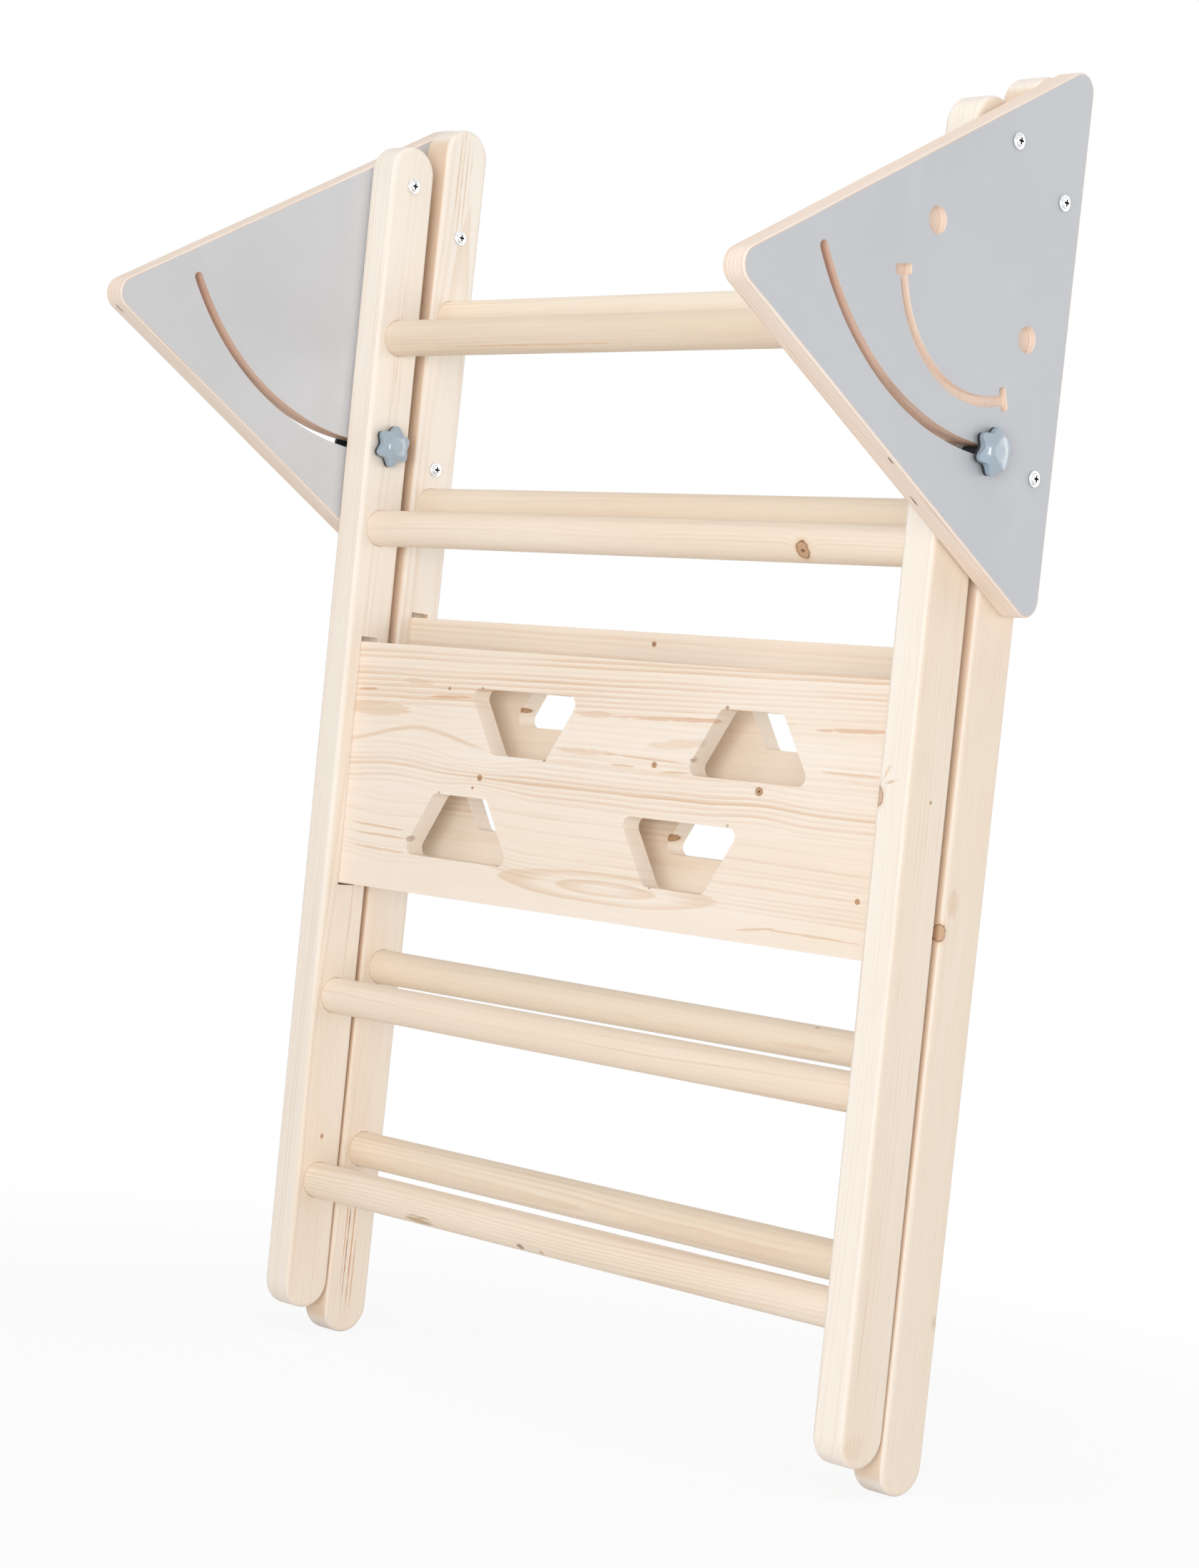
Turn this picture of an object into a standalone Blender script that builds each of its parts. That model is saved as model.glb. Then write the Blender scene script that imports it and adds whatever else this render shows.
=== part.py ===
"""Folding climbing triangle for toddlers, folded flat and standing on its back ladder.

Two ladders of softwood rails, round rungs and a board with hand-holes meet at the top. Plywood side
plates are bolted to the back ladder, and the front ladder swings between them on two pivot bolts. A
curved slot in each plate is drawn about the pivot. The lock bolt of the front ladder runs in it, and
a star knob on that bolt clamps the ladder at any opening.

Metres, +Z up, +X to the right along the rungs, +Y to the back. The origin lies on the floor, in the
middle of the overall width and depth.
"""
from math import cos, pi, radians, sin, tan

import bmesh
import bpy
from mathutils import Matrix, Vector

# Fits and cuts
FIT = 0.0003                    # gap between pieces that touch
OVERRUN = 0.010                 # how far a cutter stands out past the face that it enters
WELD = 0.00001                  # points closer than this are one point

# Rails
LADDER_WIDTH = 0.760            # front ladder, outside to outside
RAIL_THICKNESS = 0.0345         # side to side
RAIL_DEPTH = 0.053              # front to back
RAIL_ROUNDING = 0.005           # long edges
BACK_RAIL_LENGTH = 1.201
FRONT_RAIL_LENGTH = 1.144
FRONT_RAIL_DROP = 0.0303        # front rail tops below the back rail tops
LADDER_GAP = 0.0147             # between the two ladders at the height of the pivot
FOLD_LEAN_DEG = 0.69            # the folded front ladder leans this much toward the back one

# Rungs
RUNG_DIAMETER = 0.035
SLIM_RUNG_LEFT = 0.0340         # the third back rung is turned slimmer, more so at its right end
SLIM_RUNG_RIGHT = 0.0308
RUNG_SEAT = 0.018               # depth of the blind holes in the rails
UPPER_RUNG_SHARES = (0.3856, 0.7691)            # two rungs down the stretch above the board
FRONT_LOWER_RUNG_SHARES = (0.2642, 0.6979)      # two more down the stretch below it
BACK_LOWER_RUNG_SHARES = (0.2328, 0.6148)       # the back rails are longer, the rungs spaced alike

# Climbing boards
BOARD_DROP = 0.485              # board top below the rail tops
BOARD_HEIGHT = 0.237
BOARD_THICKNESS = 0.0205
BOARD_EASING = 0.0015
BOARD_GROOVE = 0.010            # depth of the groove in the rails
GROOVE_OVER = 0.005             # groove left open above the board
GROOVE_UNDER = 0.0025           # and below it

# Hand-holes, trapezoids that stand on their long and short side by turns
HOLE_LONG = 0.133
HOLE_SHORT = 0.088
HOLE_HEIGHT = 0.061
HOLE_MARGIN = 0.0365            # board left above the upper and below the lower row
HOLE_ROUNDING = 0.008
HOLE_NEAR = 0.107               # sideways from the middle of the board
HOLE_FAR = 0.182

# Side plates, equilateral triangles with one edge upright
PLATE_SIDE = 0.480              # measured to the sharp corners
PLATE_THICKNESS = 0.0229
PLATE_ROUNDING = 0.016
PLATE_EASING = 0.0018
PLATE_RISE = 0.0158             # sharp top corner above the back rail tops
PLATE_INSET = 0.0017            # upright edge in front of the rear faces of the back rails
SIDE_PLAY = 0.0012              # running play between plate and front rail

# Pivot, slot and lock
PIVOT_DROP = 0.0386             # below the front rail tops
LOCK_RADIUS = 0.2544            # lock bolt from the pivot
SLOT_WIDTH = 0.0093
SLOT_SPARE_DEG = 0.8            # slot left beyond the folded bolt
OPEN_ANGLE_DEG = 60.0           # slot end for the open ladder, from straight down
LOCK_BOLT_DIAMETER = 0.008
LOCK_HEAD_DIAMETER = 0.0355
LOCK_HEAD_HEIGHT = 0.0045
LOCK_HEAD_ROUNDING = 0.0012
LOCK_BOLT_GRIP = 0.008          # bolt inside the knob
KNOB_DIAMETER = 0.041
KNOB_VALLEY = 0.031             # across the hollows between the lobes
KNOB_HEIGHT = 0.0117            # at the middle of the domed face
KNOB_RIM_HEIGHT = 0.0067        # at the tips of the lobes
KNOB_EASING = 0.0008
KNOB_BORE_SPARE = 0.0012        # bore left beyond the end of the bolt
KNOB_BASE_DIAMETER = 0.027
KNOB_BASE_HEIGHT = 0.0015
KNOB_BASE_ROUNDING = 0.0004
KNOB_LOBES = 6
KNOB_LOBE_SLIMNESS = 1.2         # above 1 the hollows are wider than the lobes
KNOB_TURN_DEG = {"left": -8.0, "right": -12.4}

# Furniture bolts, each a screw in a barrel nut
HEAD_DIAMETER = 0.014
HEAD_HEIGHT = 0.0030
BARREL_DIAMETER = 0.008
SCREW_DIAMETER = 0.006
SCREW_LENGTH = 0.030
BARREL_SHORT = 0.006            # barrel end inside the outer face of the plate
BORE_SPARE = 0.002              # bore left beyond the end of the screw
CROSS_REACH = 0.0064
CROSS_ARM = 0.0013
CROSS_DEPTH = 0.0016
UPPER_FIXING_DROP = 0.1065      # below the back rail tops
LOWER_FIXING_DROP = 0.337
WASHER_DIAMETER = 0.022

# Smiling face routed into the outer side of the right plate, placed from its sharp top corner
POCKET_DEPTH = 0.0065
EYE_DIAMETER = 0.0225
EYE_DOWN = 0.2355               # along the line that halves the corner
EYE_APART = 0.149
SMILE_CENTRE = 0.2227
SMILE_RADIUS = 0.1073
SMILE_WIDTH = 0.009
SMILE_SPAN_DEG = 49.5           # each way from the middle
SMILE_BAR = 0.020
SMILE_BAR_WIDTH = 0.0088
SMILE_BAR_ROUNDING = 0.0025

# Smoothness of round shapes
RAIL_END_STEPS = 10
CORNER_STEPS = 8
HOLE_STEPS = 4
ROUND_STEPS = 28
TURNED_STEPS = 16
SLOT_STEPS = 20
KNOB_STEPS = 60
FINE_SEGMENTS = 2
RAIL_SEGMENTS = 2

# Heights and depths that follow from the sizes, with the front of the front rails at y = 0
FOLD_LEAN = radians(FOLD_LEAN_DEG)
BACK_TOP = BACK_RAIL_LENGTH
FRONT_TOP = BACK_TOP - FRONT_RAIL_DROP
FRONT_Y = RAIL_DEPTH / 2
BACK_Y = RAIL_DEPTH + LADDER_GAP + RAIL_DEPTH / 2
REAR_Y = BACK_Y + RAIL_DEPTH / 2
PIVOT = Vector((0.0, FRONT_Y, FRONT_TOP - PIVOT_DROP))
PLATE_EDGE_Y = REAR_Y - PLATE_INSET
PLATE_CORNER = Vector((PLATE_EDGE_Y, BACK_TOP + PLATE_RISE))
PLATE_REACH = PLATE_SIDE * cos(pi / 6)
PLATE_TIP_Y = PLATE_EDGE_Y - PLATE_REACH + PLATE_ROUNDING / sin(pi / 6) - PLATE_ROUNDING

# Widths
FRONT_OUTER = LADDER_WIDTH / 2
FRONT_INNER = FRONT_OUTER - RAIL_THICKNESS
PLATE_INNER = FRONT_OUTER + SIDE_PLAY
PLATE_OUTER = PLATE_INNER + PLATE_THICKNESS
BACK_OUTER = PLATE_INNER - FIT
BACK_INNER = BACK_OUTER - RAIL_THICKNESS
LOCK_STACK = PLATE_OUTER - FRONT_INNER
KNOB_RISE = FIT + KNOB_BASE_HEIGHT + FIT
LEFT_REACH = PLATE_OUTER + FIT + LOCK_HEAD_HEIGHT
RIGHT_REACH = PLATE_OUTER + KNOB_RISE + KNOB_HEIGHT
ORIGIN = Vector(((RIGHT_REACH - LEFT_REACH) / 2, (REAR_Y + PLATE_TIP_Y) / 2, 0.0))

# Colours as red, green, blue, then roughness and metallic
PINE = ((0.86, 0.73, 0.58), 0.55, 0.0)
RUNG_PINE = ((0.80, 0.66, 0.50), 0.55, 0.0)
BOARD_PINE = ((0.84, 0.70, 0.52), 0.55, 0.0)
GREY_PLY = ((0.53, 0.55, 0.58), 0.45, 0.0)
ZINC = ((0.75, 0.76, 0.78), 0.30, 1.0)
NYLON = ((0.80, 0.80, 0.78), 0.50, 0.0)
BLACK = ((0.03, 0.04, 0.045), 0.40, 0.0)
KNOB_GREY = ((0.38, 0.48, 0.55), 0.25, 0.0)

# Turns that lay a flat outline, or a turned piece, the right way round
UPRIGHT_SIDE = (pi / 2, 0.0, pi / 2)     # outline in the plane of a side plate, seen from the right
UPRIGHT_FRONT = (pi / 2, 0.0, 0.0)       # outline in the plane of a ladder, seen from the front
TO_RIGHT = (0.0, pi / 2, 0.0)            # axis along +X
TO_LEFT = (0.0, -pi / 2, 0.0)            # axis along -X


def clear_scene():
    for item in list(bpy.data.objects):
        bpy.data.objects.remove(item, do_unlink=True)


def new_collection(name):
    collection = bpy.data.collections.new(name)
    bpy.context.scene.collection.children.link(collection)
    return collection


clear_scene()
PARTS = new_collection("climbing_triangle")
CUTTERS = new_collection("cutters")


# Carriers: an empty for each body, with the place that it stands for

def carrier(name, place, base=None, lean=0.0):
    empty = bpy.data.objects.new(name, None)
    PARTS.objects.link(empty)
    if base is None:
        empty.location = place - ORIGIN
    else:
        empty.parent = base[0]
        empty.location = place - base[1]
    empty.rotation_euler = (lean, 0.0, 0.0)
    return (empty, place)


def attach(item, body, place, turn=(0.0, 0.0, 0.0)):
    """Hang an object on its body, at a place measured on the upright ladders."""
    item.parent = body[0]
    item.location = Vector(place) - body[1]
    item.rotation_euler = turn
    return item


# Objects and materials

def new_object(name, mesh, collection=None):
    item = bpy.data.objects.new(name, mesh)
    (collection or PARTS).objects.link(item)
    return item


def colour(item, look):
    shade, roughness, metallic = look
    material = bpy.data.materials.new(item.name)
    material.use_nodes = True
    shader = material.node_tree.nodes["Principled BSDF"]
    shader.inputs["Base Color"].default_value = (*shade, 1.0)
    shader.inputs["Roughness"].default_value = roughness
    shader.inputs["Metallic"].default_value = metallic
    material.diffuse_color = (*shade, 1.0)
    item.data.materials.append(material)
    return item


def smooth(mesh, angle=radians(35)):
    mesh.shade_smooth()
    mesh.set_sharp_from_angle(angle=angle)


# Outlines

def capsule(width, length, steps):
    """Outline of a bar with half-round ends, standing on the origin."""
    reach = width / 2
    points = []
    for k in range(steps + 1):
        angle = pi + pi * k / steps
        points.append((reach * cos(angle), reach + reach * sin(angle)))
    for k in range(steps + 1):
        angle = pi * k / steps
        points.append((reach * cos(angle), length - reach + reach * sin(angle)))
    return points


def rounded(corners, radius, steps):
    """Outline of a convex shape, given anticlockwise, with its corners rounded."""
    points = []
    count = len(corners)
    for i in range(count):
        corner = Vector(corners[i])
        before = (Vector(corners[i - 1]) - corner).normalized()
        after = (Vector(corners[(i + 1) % count]) - corner).normalized()
        half = before.angle(after) / 2
        centre = corner + (before + after).normalized() * (radius / sin(half))
        start = corner + before * (radius / tan(half)) - centre
        for k in range(steps + 1):
            turned = Matrix.Rotation((pi - 2 * half) * k / steps, 2) @ start
            points.append(tuple(centre + turned))
    return points


def ribbon(centre, ahead, aside, radius, width, first, last, steps, cap_steps):
    """Outline of a band along an arc, from the angle first to last, with half-round ends."""

    def at(reach, angle):
        return centre + ahead * (reach * cos(angle)) + aside * (reach * sin(angle))

    def cap(angle, facing):
        middle = at(radius, angle)
        outward = ahead * cos(angle) + aside * sin(angle)
        along = (aside * cos(angle) - ahead * sin(angle)) * facing
        ring = []
        for k in range(1, cap_steps):
            turn = pi * k / cap_steps
            ring.append(middle + outward * (facing * width / 2 * cos(turn)) + along * (width / 2 * sin(turn)))
        return ring

    angles = [first + (last - first) * k / steps for k in range(steps + 1)]
    points = [at(radius + width / 2, angle) for angle in angles]
    points += cap(last, 1)
    points += [at(radius - width / 2, angle) for angle in reversed(angles)]
    points += cap(first, -1)
    return [tuple(point) for point in points]


def outline_solid(name, loops, thickness, collection=None):
    """A flat piece from its outline and any openings in it, half its thickness each way."""
    curve = bpy.data.curves.new(name, "CURVE")
    curve.dimensions = "2D"
    curve.fill_mode = "BOTH"
    curve.extrude = thickness / 2
    for loop in loops:
        spline = curve.splines.new("POLY")
        spline.points.add(len(loop) - 1)
        for point, place in zip(spline.points, loop):
            point.co = (place[0], place[1], 0.0, 1.0)
        spline.use_cyclic_u = True
    drawn = new_object(name + "_outline", curve, collection)
    graph = bpy.context.evaluated_depsgraph_get()
    mesh = bpy.data.meshes.new_from_object(drawn.evaluated_get(graph))
    bm = bmesh.new()
    bm.from_mesh(mesh)
    bmesh.ops.remove_doubles(bm, verts=bm.verts, dist=WELD)
    bmesh.ops.dissolve_limit(bm, angle_limit=radians(0.5), verts=bm.verts, edges=bm.edges)
    bmesh.ops.recalc_face_normals(bm, faces=bm.faces)
    bm.to_mesh(mesh)
    bm.free()
    mesh.materials.clear()
    smooth(mesh)
    item = new_object(name, mesh, collection)
    item.matrix_world = drawn.matrix_world
    bpy.data.objects.remove(drawn, do_unlink=True)
    bpy.data.curves.remove(curve)
    mesh.name = name
    return item


def turned(name, profile, closed=False, steps=TURNED_STEPS):
    """A turned piece about Z: its profile runs down the outer side from the top."""
    mesh = bpy.data.meshes.new(name)
    bm = bmesh.new()
    verts = [bm.verts.new((reach, 0.0, height)) for reach, height in profile]
    for first, second in zip(verts, verts[1:]):
        bm.edges.new((first, second))
    if closed:
        bm.edges.new((verts[-1], verts[0]))
    bm.to_mesh(mesh)
    bm.free()
    item = new_object(name, mesh)
    screw = item.modifiers.new("turn", "SCREW")
    screw.axis = "Z"
    screw.angle = 2 * pi
    screw.steps = steps
    screw.render_steps = steps
    screw.use_merge_vertices = True
    screw.merge_threshold = WELD
    screw.use_smooth_shade = True
    return item


def rod(bm, start, end, first_diameter, second_diameter=None, steps=ROUND_STEPS):
    """A round bar along X in a mesh that is being built."""
    last = second_diameter or first_diameter
    middle = Matrix.Translation(((start[0] + end[0]) / 2, start[1], start[2]))
    bmesh.ops.create_cone(
        bm,
        cap_ends=True,
        segments=steps,
        radius1=first_diameter / 2,
        radius2=last / 2,
        depth=end[0] - start[0],
        matrix=middle @ Matrix.Rotation(pi / 2, 4, "Y"),
    )


def block(bm, low, high):
    """A box between two corners in a mesh that is being built."""
    low, high = Vector(low), Vector(high)
    size = high - low
    stretch = Matrix.Diagonal((*size, 1.0))
    bmesh.ops.create_cube(bm, size=1.0, matrix=Matrix.Translation((low + high) / 2) @ stretch)


def mesh_object(name, bm, collection=None):
    mesh = bpy.data.meshes.new(name)
    bm.to_mesh(mesh)
    bm.free()
    return new_object(name, mesh, collection)


def round_edges(item, width, segments):
    bevel = item.modifiers.new("rounding", "BEVEL")
    bevel.width = width
    bevel.segments = segments
    bevel.limit_method = "ANGLE"
    bevel.angle_limit = radians(50)


def cut(item, cutter):
    cutter.hide_render = True
    cutter.display_type = "WIRE"
    boolean = item.modifiers.new("cut", "BOOLEAN")
    boolean.operation = "DIFFERENCE"
    boolean.solver = "EXACT"
    boolean.object = cutter


# Rails

def bore(bm, x_low, x_high, y, z, diameter, steps=TURNED_STEPS):
    """A clearance hole along X."""
    rod(bm, (x_low - OVERRUN, y, z), (x_high + OVERRUN, y, z), diameter + 2 * FIT, steps=steps)


def rung_drops(ladder):
    """How far each rung lies below the tops of its rails."""
    length = FRONT_RAIL_LENGTH if ladder == "front" else BACK_RAIL_LENGTH
    lower_shares = FRONT_LOWER_RUNG_SHARES if ladder == "front" else BACK_LOWER_RUNG_SHARES
    board_foot = BOARD_DROP + BOARD_HEIGHT
    drops = [BOARD_DROP * share for share in UPPER_RUNG_SHARES]
    drops += [board_foot + (length - board_foot) * share for share in lower_shares]
    return drops


def rung_size(ladder, number):
    if ladder == "back" and number == 3:
        return SLIM_RUNG_LEFT, SLIM_RUNG_RIGHT
    return RUNG_DIAMETER, RUNG_DIAMETER


def rail(ladder, side, body, y, top, length, outer, bolt_holes):
    """A side rail with blind rung holes and a stopped board groove in its inner face."""
    name = f"{ladder}_rail_" + ("right" if side > 0 else "left")
    item = outline_solid(name, [capsule(RAIL_DEPTH, length, RAIL_END_STEPS)], RAIL_THICKNESS)
    attach(item, body, (side * (outer - RAIL_THICKNESS / 2), y, top - length), UPRIGHT_SIDE)
    round_edges(item, RAIL_ROUNDING, RAIL_SEGMENTS)

    inner = outer - RAIL_THICKNESS
    bm = bmesh.new()

    def span(depth):
        ends = (side * (inner + depth), side * (inner - OVERRUN))
        return min(ends), max(ends)

    for number, drop in enumerate(rung_drops(ladder), start=1):
        low, high = span(RUNG_SEAT)
        diameter = rung_size(ladder, number)[1 if side > 0 else 0] + 2 * FIT
        rod(bm, (low, y, top - drop), (high, y, top - drop), diameter)
    low, high = span(BOARD_GROOVE)
    half = BOARD_THICKNESS / 2 + FIT
    board_top = top - BOARD_DROP
    bottom = board_top - BOARD_HEIGHT - GROOVE_UNDER
    block(bm, (low, y - half, bottom), (high, y + half, board_top + GROOVE_OVER))
    ends = (side * inner, side * outer)
    for drop, diameter in bolt_holes:
        bore(bm, min(ends), max(ends), y, top - drop, diameter)
    cutter = mesh_object(name + "_cuts", bm, CUTTERS)
    for vert in cutter.data.vertices:
        vert.co -= Vector(body[1])
    attach(cutter, body, body[1])
    cut(item, cutter)
    return colour(item, PINE)


# Rungs and boards

def rung(ladder, number, drop, body, y, top, inner):
    left, right = rung_size(ladder, number)
    bm = bmesh.new()
    reach = inner + RUNG_SEAT - FIT
    rod(bm, (-reach, 0.0, 0.0), (reach, 0.0, 0.0), left, right)
    item = mesh_object(f"{ladder}_rung_{number}", bm)
    smooth(item.data)
    attach(item, body, (0.0, y, top - drop))
    return colour(item, RUNG_PINE)


def hand_hole(x, low, wide_at_top):
    """A trapezoid with rounded corners, its foot at the height low."""
    top_half = (HOLE_LONG if wide_at_top else HOLE_SHORT) / 2
    foot_half = (HOLE_SHORT if wide_at_top else HOLE_LONG) / 2
    high = low + HOLE_HEIGHT
    corners = [(x - foot_half, low), (x + foot_half, low), (x + top_half, high), (x - top_half, high)]
    return rounded(corners, HOLE_ROUNDING, HOLE_STEPS)


def board(ladder, body, y, top, inner):
    """A climbing board with four hand-holes, its ends in the grooves of the rails."""
    reach = inner + BOARD_GROOVE - FIT
    edge = [(-reach, 0.0), (reach, 0.0), (reach, BOARD_HEIGHT), (-reach, BOARD_HEIGHT)]
    lower = HOLE_MARGIN
    upper = BOARD_HEIGHT - HOLE_MARGIN - HOLE_HEIGHT
    item = outline_solid(f"{ladder}_board", [edge], BOARD_THICKNESS)
    attach(item, body, (0.0, y, top - BOARD_DROP - BOARD_HEIGHT), UPRIGHT_FRONT)
    places = [
        (-HOLE_NEAR, upper, True),
        (HOLE_FAR, upper, False),
        (-HOLE_FAR, lower, False),
        (HOLE_NEAR, lower, True),
    ]
    # The back board is the same board turned upside down, so its holes taper the other way
    upside_down = ladder == "back"
    for number, (x, low, wide_at_top) in enumerate(places, start=1):
        loop = hand_hole(x, low, wide_at_top != upside_down)
        cutter = outline_solid(f"{item.name}_hole_{number}", [loop], BOARD_THICKNESS + 2 * OVERRUN, CUTTERS)
        attach(cutter, body, (0.0, y, top - BOARD_DROP - BOARD_HEIGHT), UPRIGHT_FRONT)
        cut(item, cutter)
    round_edges(item, BOARD_EASING, FINE_SEGMENTS)
    return colour(item, BOARD_PINE)


# Side plates

DOWN = Vector((0.0, -1.0))
FORWARD = Vector((-1.0, 0.0))
FACE_DOWN = Vector((-sin(pi / 6), -cos(pi / 6)))     # halves the top corner of the plate
FACE_ASIDE = Vector((cos(pi / 6), -sin(pi / 6)))


def plate_cutter(name, loop, depth, x, body):
    item = outline_solid(name, [loop], depth, CUTTERS)
    attach(item, body, (x, 0.0, 0.0), UPRIGHT_SIDE)
    return item


def bar_loop(middle, along, across):
    """A short bar with rounded corners across the end of the smile."""
    reach, half = SMILE_BAR / 2, SMILE_BAR_WIDTH / 2
    signs = [(-1, -1), (1, -1), (1, 1), (-1, 1)]
    corners = [middle + along * (reach * i) + across * (half * j) for i, j in signs]
    return rounded([tuple(corner) for corner in corners], SMILE_BAR_ROUNDING, HOLE_STEPS)


def side_plate(side, body):
    """A triangular plate with the lock slot drawn about the pivot."""
    name = "side_plate_" + ("right" if side > 0 else "left")
    top = PLATE_CORNER
    foot = top + Vector((0.0, -PLATE_SIDE))
    tip = top + Vector((-PLATE_REACH, -PLATE_SIDE / 2))
    loop = rounded([tuple(foot), tuple(top), tuple(tip)], PLATE_ROUNDING, CORNER_STEPS)
    item = outline_solid(name, [loop], PLATE_THICKNESS)
    middle = side * (PLATE_INNER + PLATE_THICKNESS / 2)
    attach(item, body, (middle, 0.0, 0.0), UPRIGHT_SIDE)
    round_edges(item, PLATE_EASING, FINE_SEGMENTS)

    pivot = Vector((PIVOT.y, PIVOT.z))
    first = -radians(FOLD_LEAN_DEG + SLOT_SPARE_DEG)
    last = radians(OPEN_ANGLE_DEG)
    slot = ribbon(pivot, DOWN, FORWARD, LOCK_RADIUS, SLOT_WIDTH, first, last, SLOT_STEPS, CORNER_STEPS)
    deep = PLATE_THICKNESS + 2 * OVERRUN
    cut(item, plate_cutter(name + "_slot", slot, deep, middle, body))

    bm = bmesh.new()
    ends = (side * PLATE_INNER, side * PLATE_OUTER)
    for y, z in bolt_places():
        bore(bm, min(ends), max(ends), y, z, BARREL_DIAMETER)
    holes = mesh_object(name + "_bolt_holes", bm, CUTTERS)
    attach(holes, body, (0.0, 0.0, 0.0))
    cut(item, holes)
    return colour(item, GREY_PLY)


def bolt_places():
    return [
        (PIVOT.y, PIVOT.z),
        (BACK_Y, BACK_TOP - UPPER_FIXING_DROP),
        (BACK_Y, BACK_TOP - LOWER_FIXING_DROP),
    ]


def smiling_face(item, body):
    """Blind pockets in the outer side of the right plate: two eyes and a smile with end bars."""
    deep = POCKET_DEPTH + OVERRUN
    middle = PLATE_OUTER - POCKET_DEPTH + deep / 2
    centre = PLATE_CORNER + FACE_DOWN * SMILE_CENTRE
    span = radians(SMILE_SPAN_DEG)
    band = (SMILE_RADIUS, SMILE_WIDTH, -span, span, SLOT_STEPS, HOLE_STEPS)
    smile = ribbon(centre, FACE_DOWN, FACE_ASIDE, *band)
    cut(item, plate_cutter("smile", smile, deep, middle, body))
    for name, turn in (("smile_bar_front", -span), ("smile_bar_back", span)):
        along = FACE_DOWN * cos(turn) + FACE_ASIDE * sin(turn)
        across = FACE_ASIDE * cos(turn) - FACE_DOWN * sin(turn)
        loop = bar_loop(centre + along * SMILE_RADIUS, along, across)
        cut(item, plate_cutter(name, loop, deep, middle, body))
    bm = bmesh.new()
    for half in (-EYE_APART / 2, EYE_APART / 2):
        eye = PLATE_CORNER + FACE_DOWN * EYE_DOWN + FACE_ASIDE * half
        rod(bm, (PLATE_OUTER - POCKET_DEPTH, *eye), (PLATE_OUTER + OVERRUN, *eye), EYE_DIAMETER)
    eyes = mesh_object("eyes", bm, CUTTERS)
    attach(eyes, body, (0.0, 0.0, 0.0))
    cut(item, eyes)


# Bolts, nuts and washers

HEAD_PROFILE_SHARES = [(0.0, 1.0), (0.60, 0.88), (0.93, 0.50), (1.0, 0.0)]


def head_profile():
    return [(HEAD_DIAMETER / 2 * reach, HEAD_HEIGHT * rise) for reach, rise in HEAD_PROFILE_SHARES]


def cross_recess(item, body, place, turn):
    """A cross for the screwdriver, sunk into the head."""
    reach, half = CROSS_REACH / 2, CROSS_ARM / 2
    quarter = [(reach, -half), (reach, half), (half, half)]
    loop = []
    for k in range(4):
        spin = Matrix.Rotation(pi / 2 * k, 2)
        loop += [tuple(spin @ Vector(point)) for point in quarter]
    deep = CROSS_DEPTH + OVERRUN
    cutter = outline_solid(item.name + "_cross", [loop], deep, CUTTERS)
    shift = Vector((HEAD_HEIGHT - CROSS_DEPTH + deep / 2, 0.0, 0.0))
    if turn == TO_LEFT:
        shift.negate()
    attach(cutter, body, Vector(place) + shift, turn)
    cut(item, cutter)


def furniture_bolt(name, side, body, y, z, inner):
    """A screw from the outer face of the plate and a barrel nut from the inner face of the rail."""
    sign = "right" if side > 0 else "left"
    outward, inward = (TO_RIGHT, TO_LEFT) if side > 0 else (TO_LEFT, TO_RIGHT)
    thin = SCREW_DIAMETER / 2
    screw_seat = (side * (PLATE_OUTER + FIT), y, z)
    shank = [(thin, 0.0), (thin, -SCREW_LENGTH), (0.0, -SCREW_LENGTH)]
    screw = turned(f"{name}_bolt_{sign}", head_profile() + shank)
    attach(screw, body, screw_seat, outward)
    cross_recess(screw, body, screw_seat, outward)
    colour(screw, ZINC)

    nut_seat = (side * (inner - FIT), y, z)
    length = PLATE_OUTER - BARREL_SHORT - inner + FIT
    hollow = PLATE_OUTER + FIT - SCREW_LENGTH - BORE_SPARE - inner + FIT
    wall, hole = BARREL_DIAMETER / 2, SCREW_DIAMETER / 2 + FIT
    barrel = [(wall, 0.0), (wall, -length), (hole, -length), (hole, -hollow), (0.0, -hollow)]
    nut = turned(f"{name}_nut_{sign}", head_profile() + barrel)
    attach(nut, body, nut_seat, inward)
    cross_recess(nut, body, nut_seat, inward)
    colour(nut, ZINC)


def ring_profile(hole, diameter, low, high, rounding=0.0):
    """Closed profile of a flat ring, with its upper outer edge taken off."""
    inner, outer = hole / 2, diameter / 2
    if rounding:
        return [(inner, high), (outer - rounding, high), (outer, high - rounding), (outer, low), (inner, low)]
    return [(inner, high), (outer, high), (outer, low), (inner, low)]


def washer(name, body, side, y, z, hole):
    """A thin ring that fills the play between plate and front rail."""
    profile = ring_profile(hole + 2 * FIT, WASHER_DIAMETER, FIT, SIDE_PLAY - FIT)
    item = turned(name, profile, closed=True)
    attach(item, body, (side * FRONT_OUTER, y, z), TO_RIGHT if side > 0 else TO_LEFT)
    return colour(item, NYLON)


# Lock: bolt, base disc and star knob, all along +X on both sides

def lock_bolt(name, body, head_x, z):
    """A round black head that bears on the wood and a shank through plate, rail and knob."""
    wide, thin = LOCK_HEAD_DIAMETER / 2, LOCK_BOLT_DIAMETER / 2
    reach = LOCK_STACK + FIT + KNOB_RISE + LOCK_BOLT_GRIP
    profile = [
        (0.0, reach),
        (thin, reach),
        (thin, 0.0),
        (wide, 0.0),
        (wide, -LOCK_HEAD_HEIGHT + LOCK_HEAD_ROUNDING),
        (wide - LOCK_HEAD_ROUNDING, -LOCK_HEAD_HEIGHT),
        (0.0, -LOCK_HEAD_HEIGHT),
    ]
    item = turned(name, profile, steps=ROUND_STEPS)
    attach(item, body, (head_x, FRONT_Y, z), TO_RIGHT)
    return colour(item, BLACK)


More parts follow.
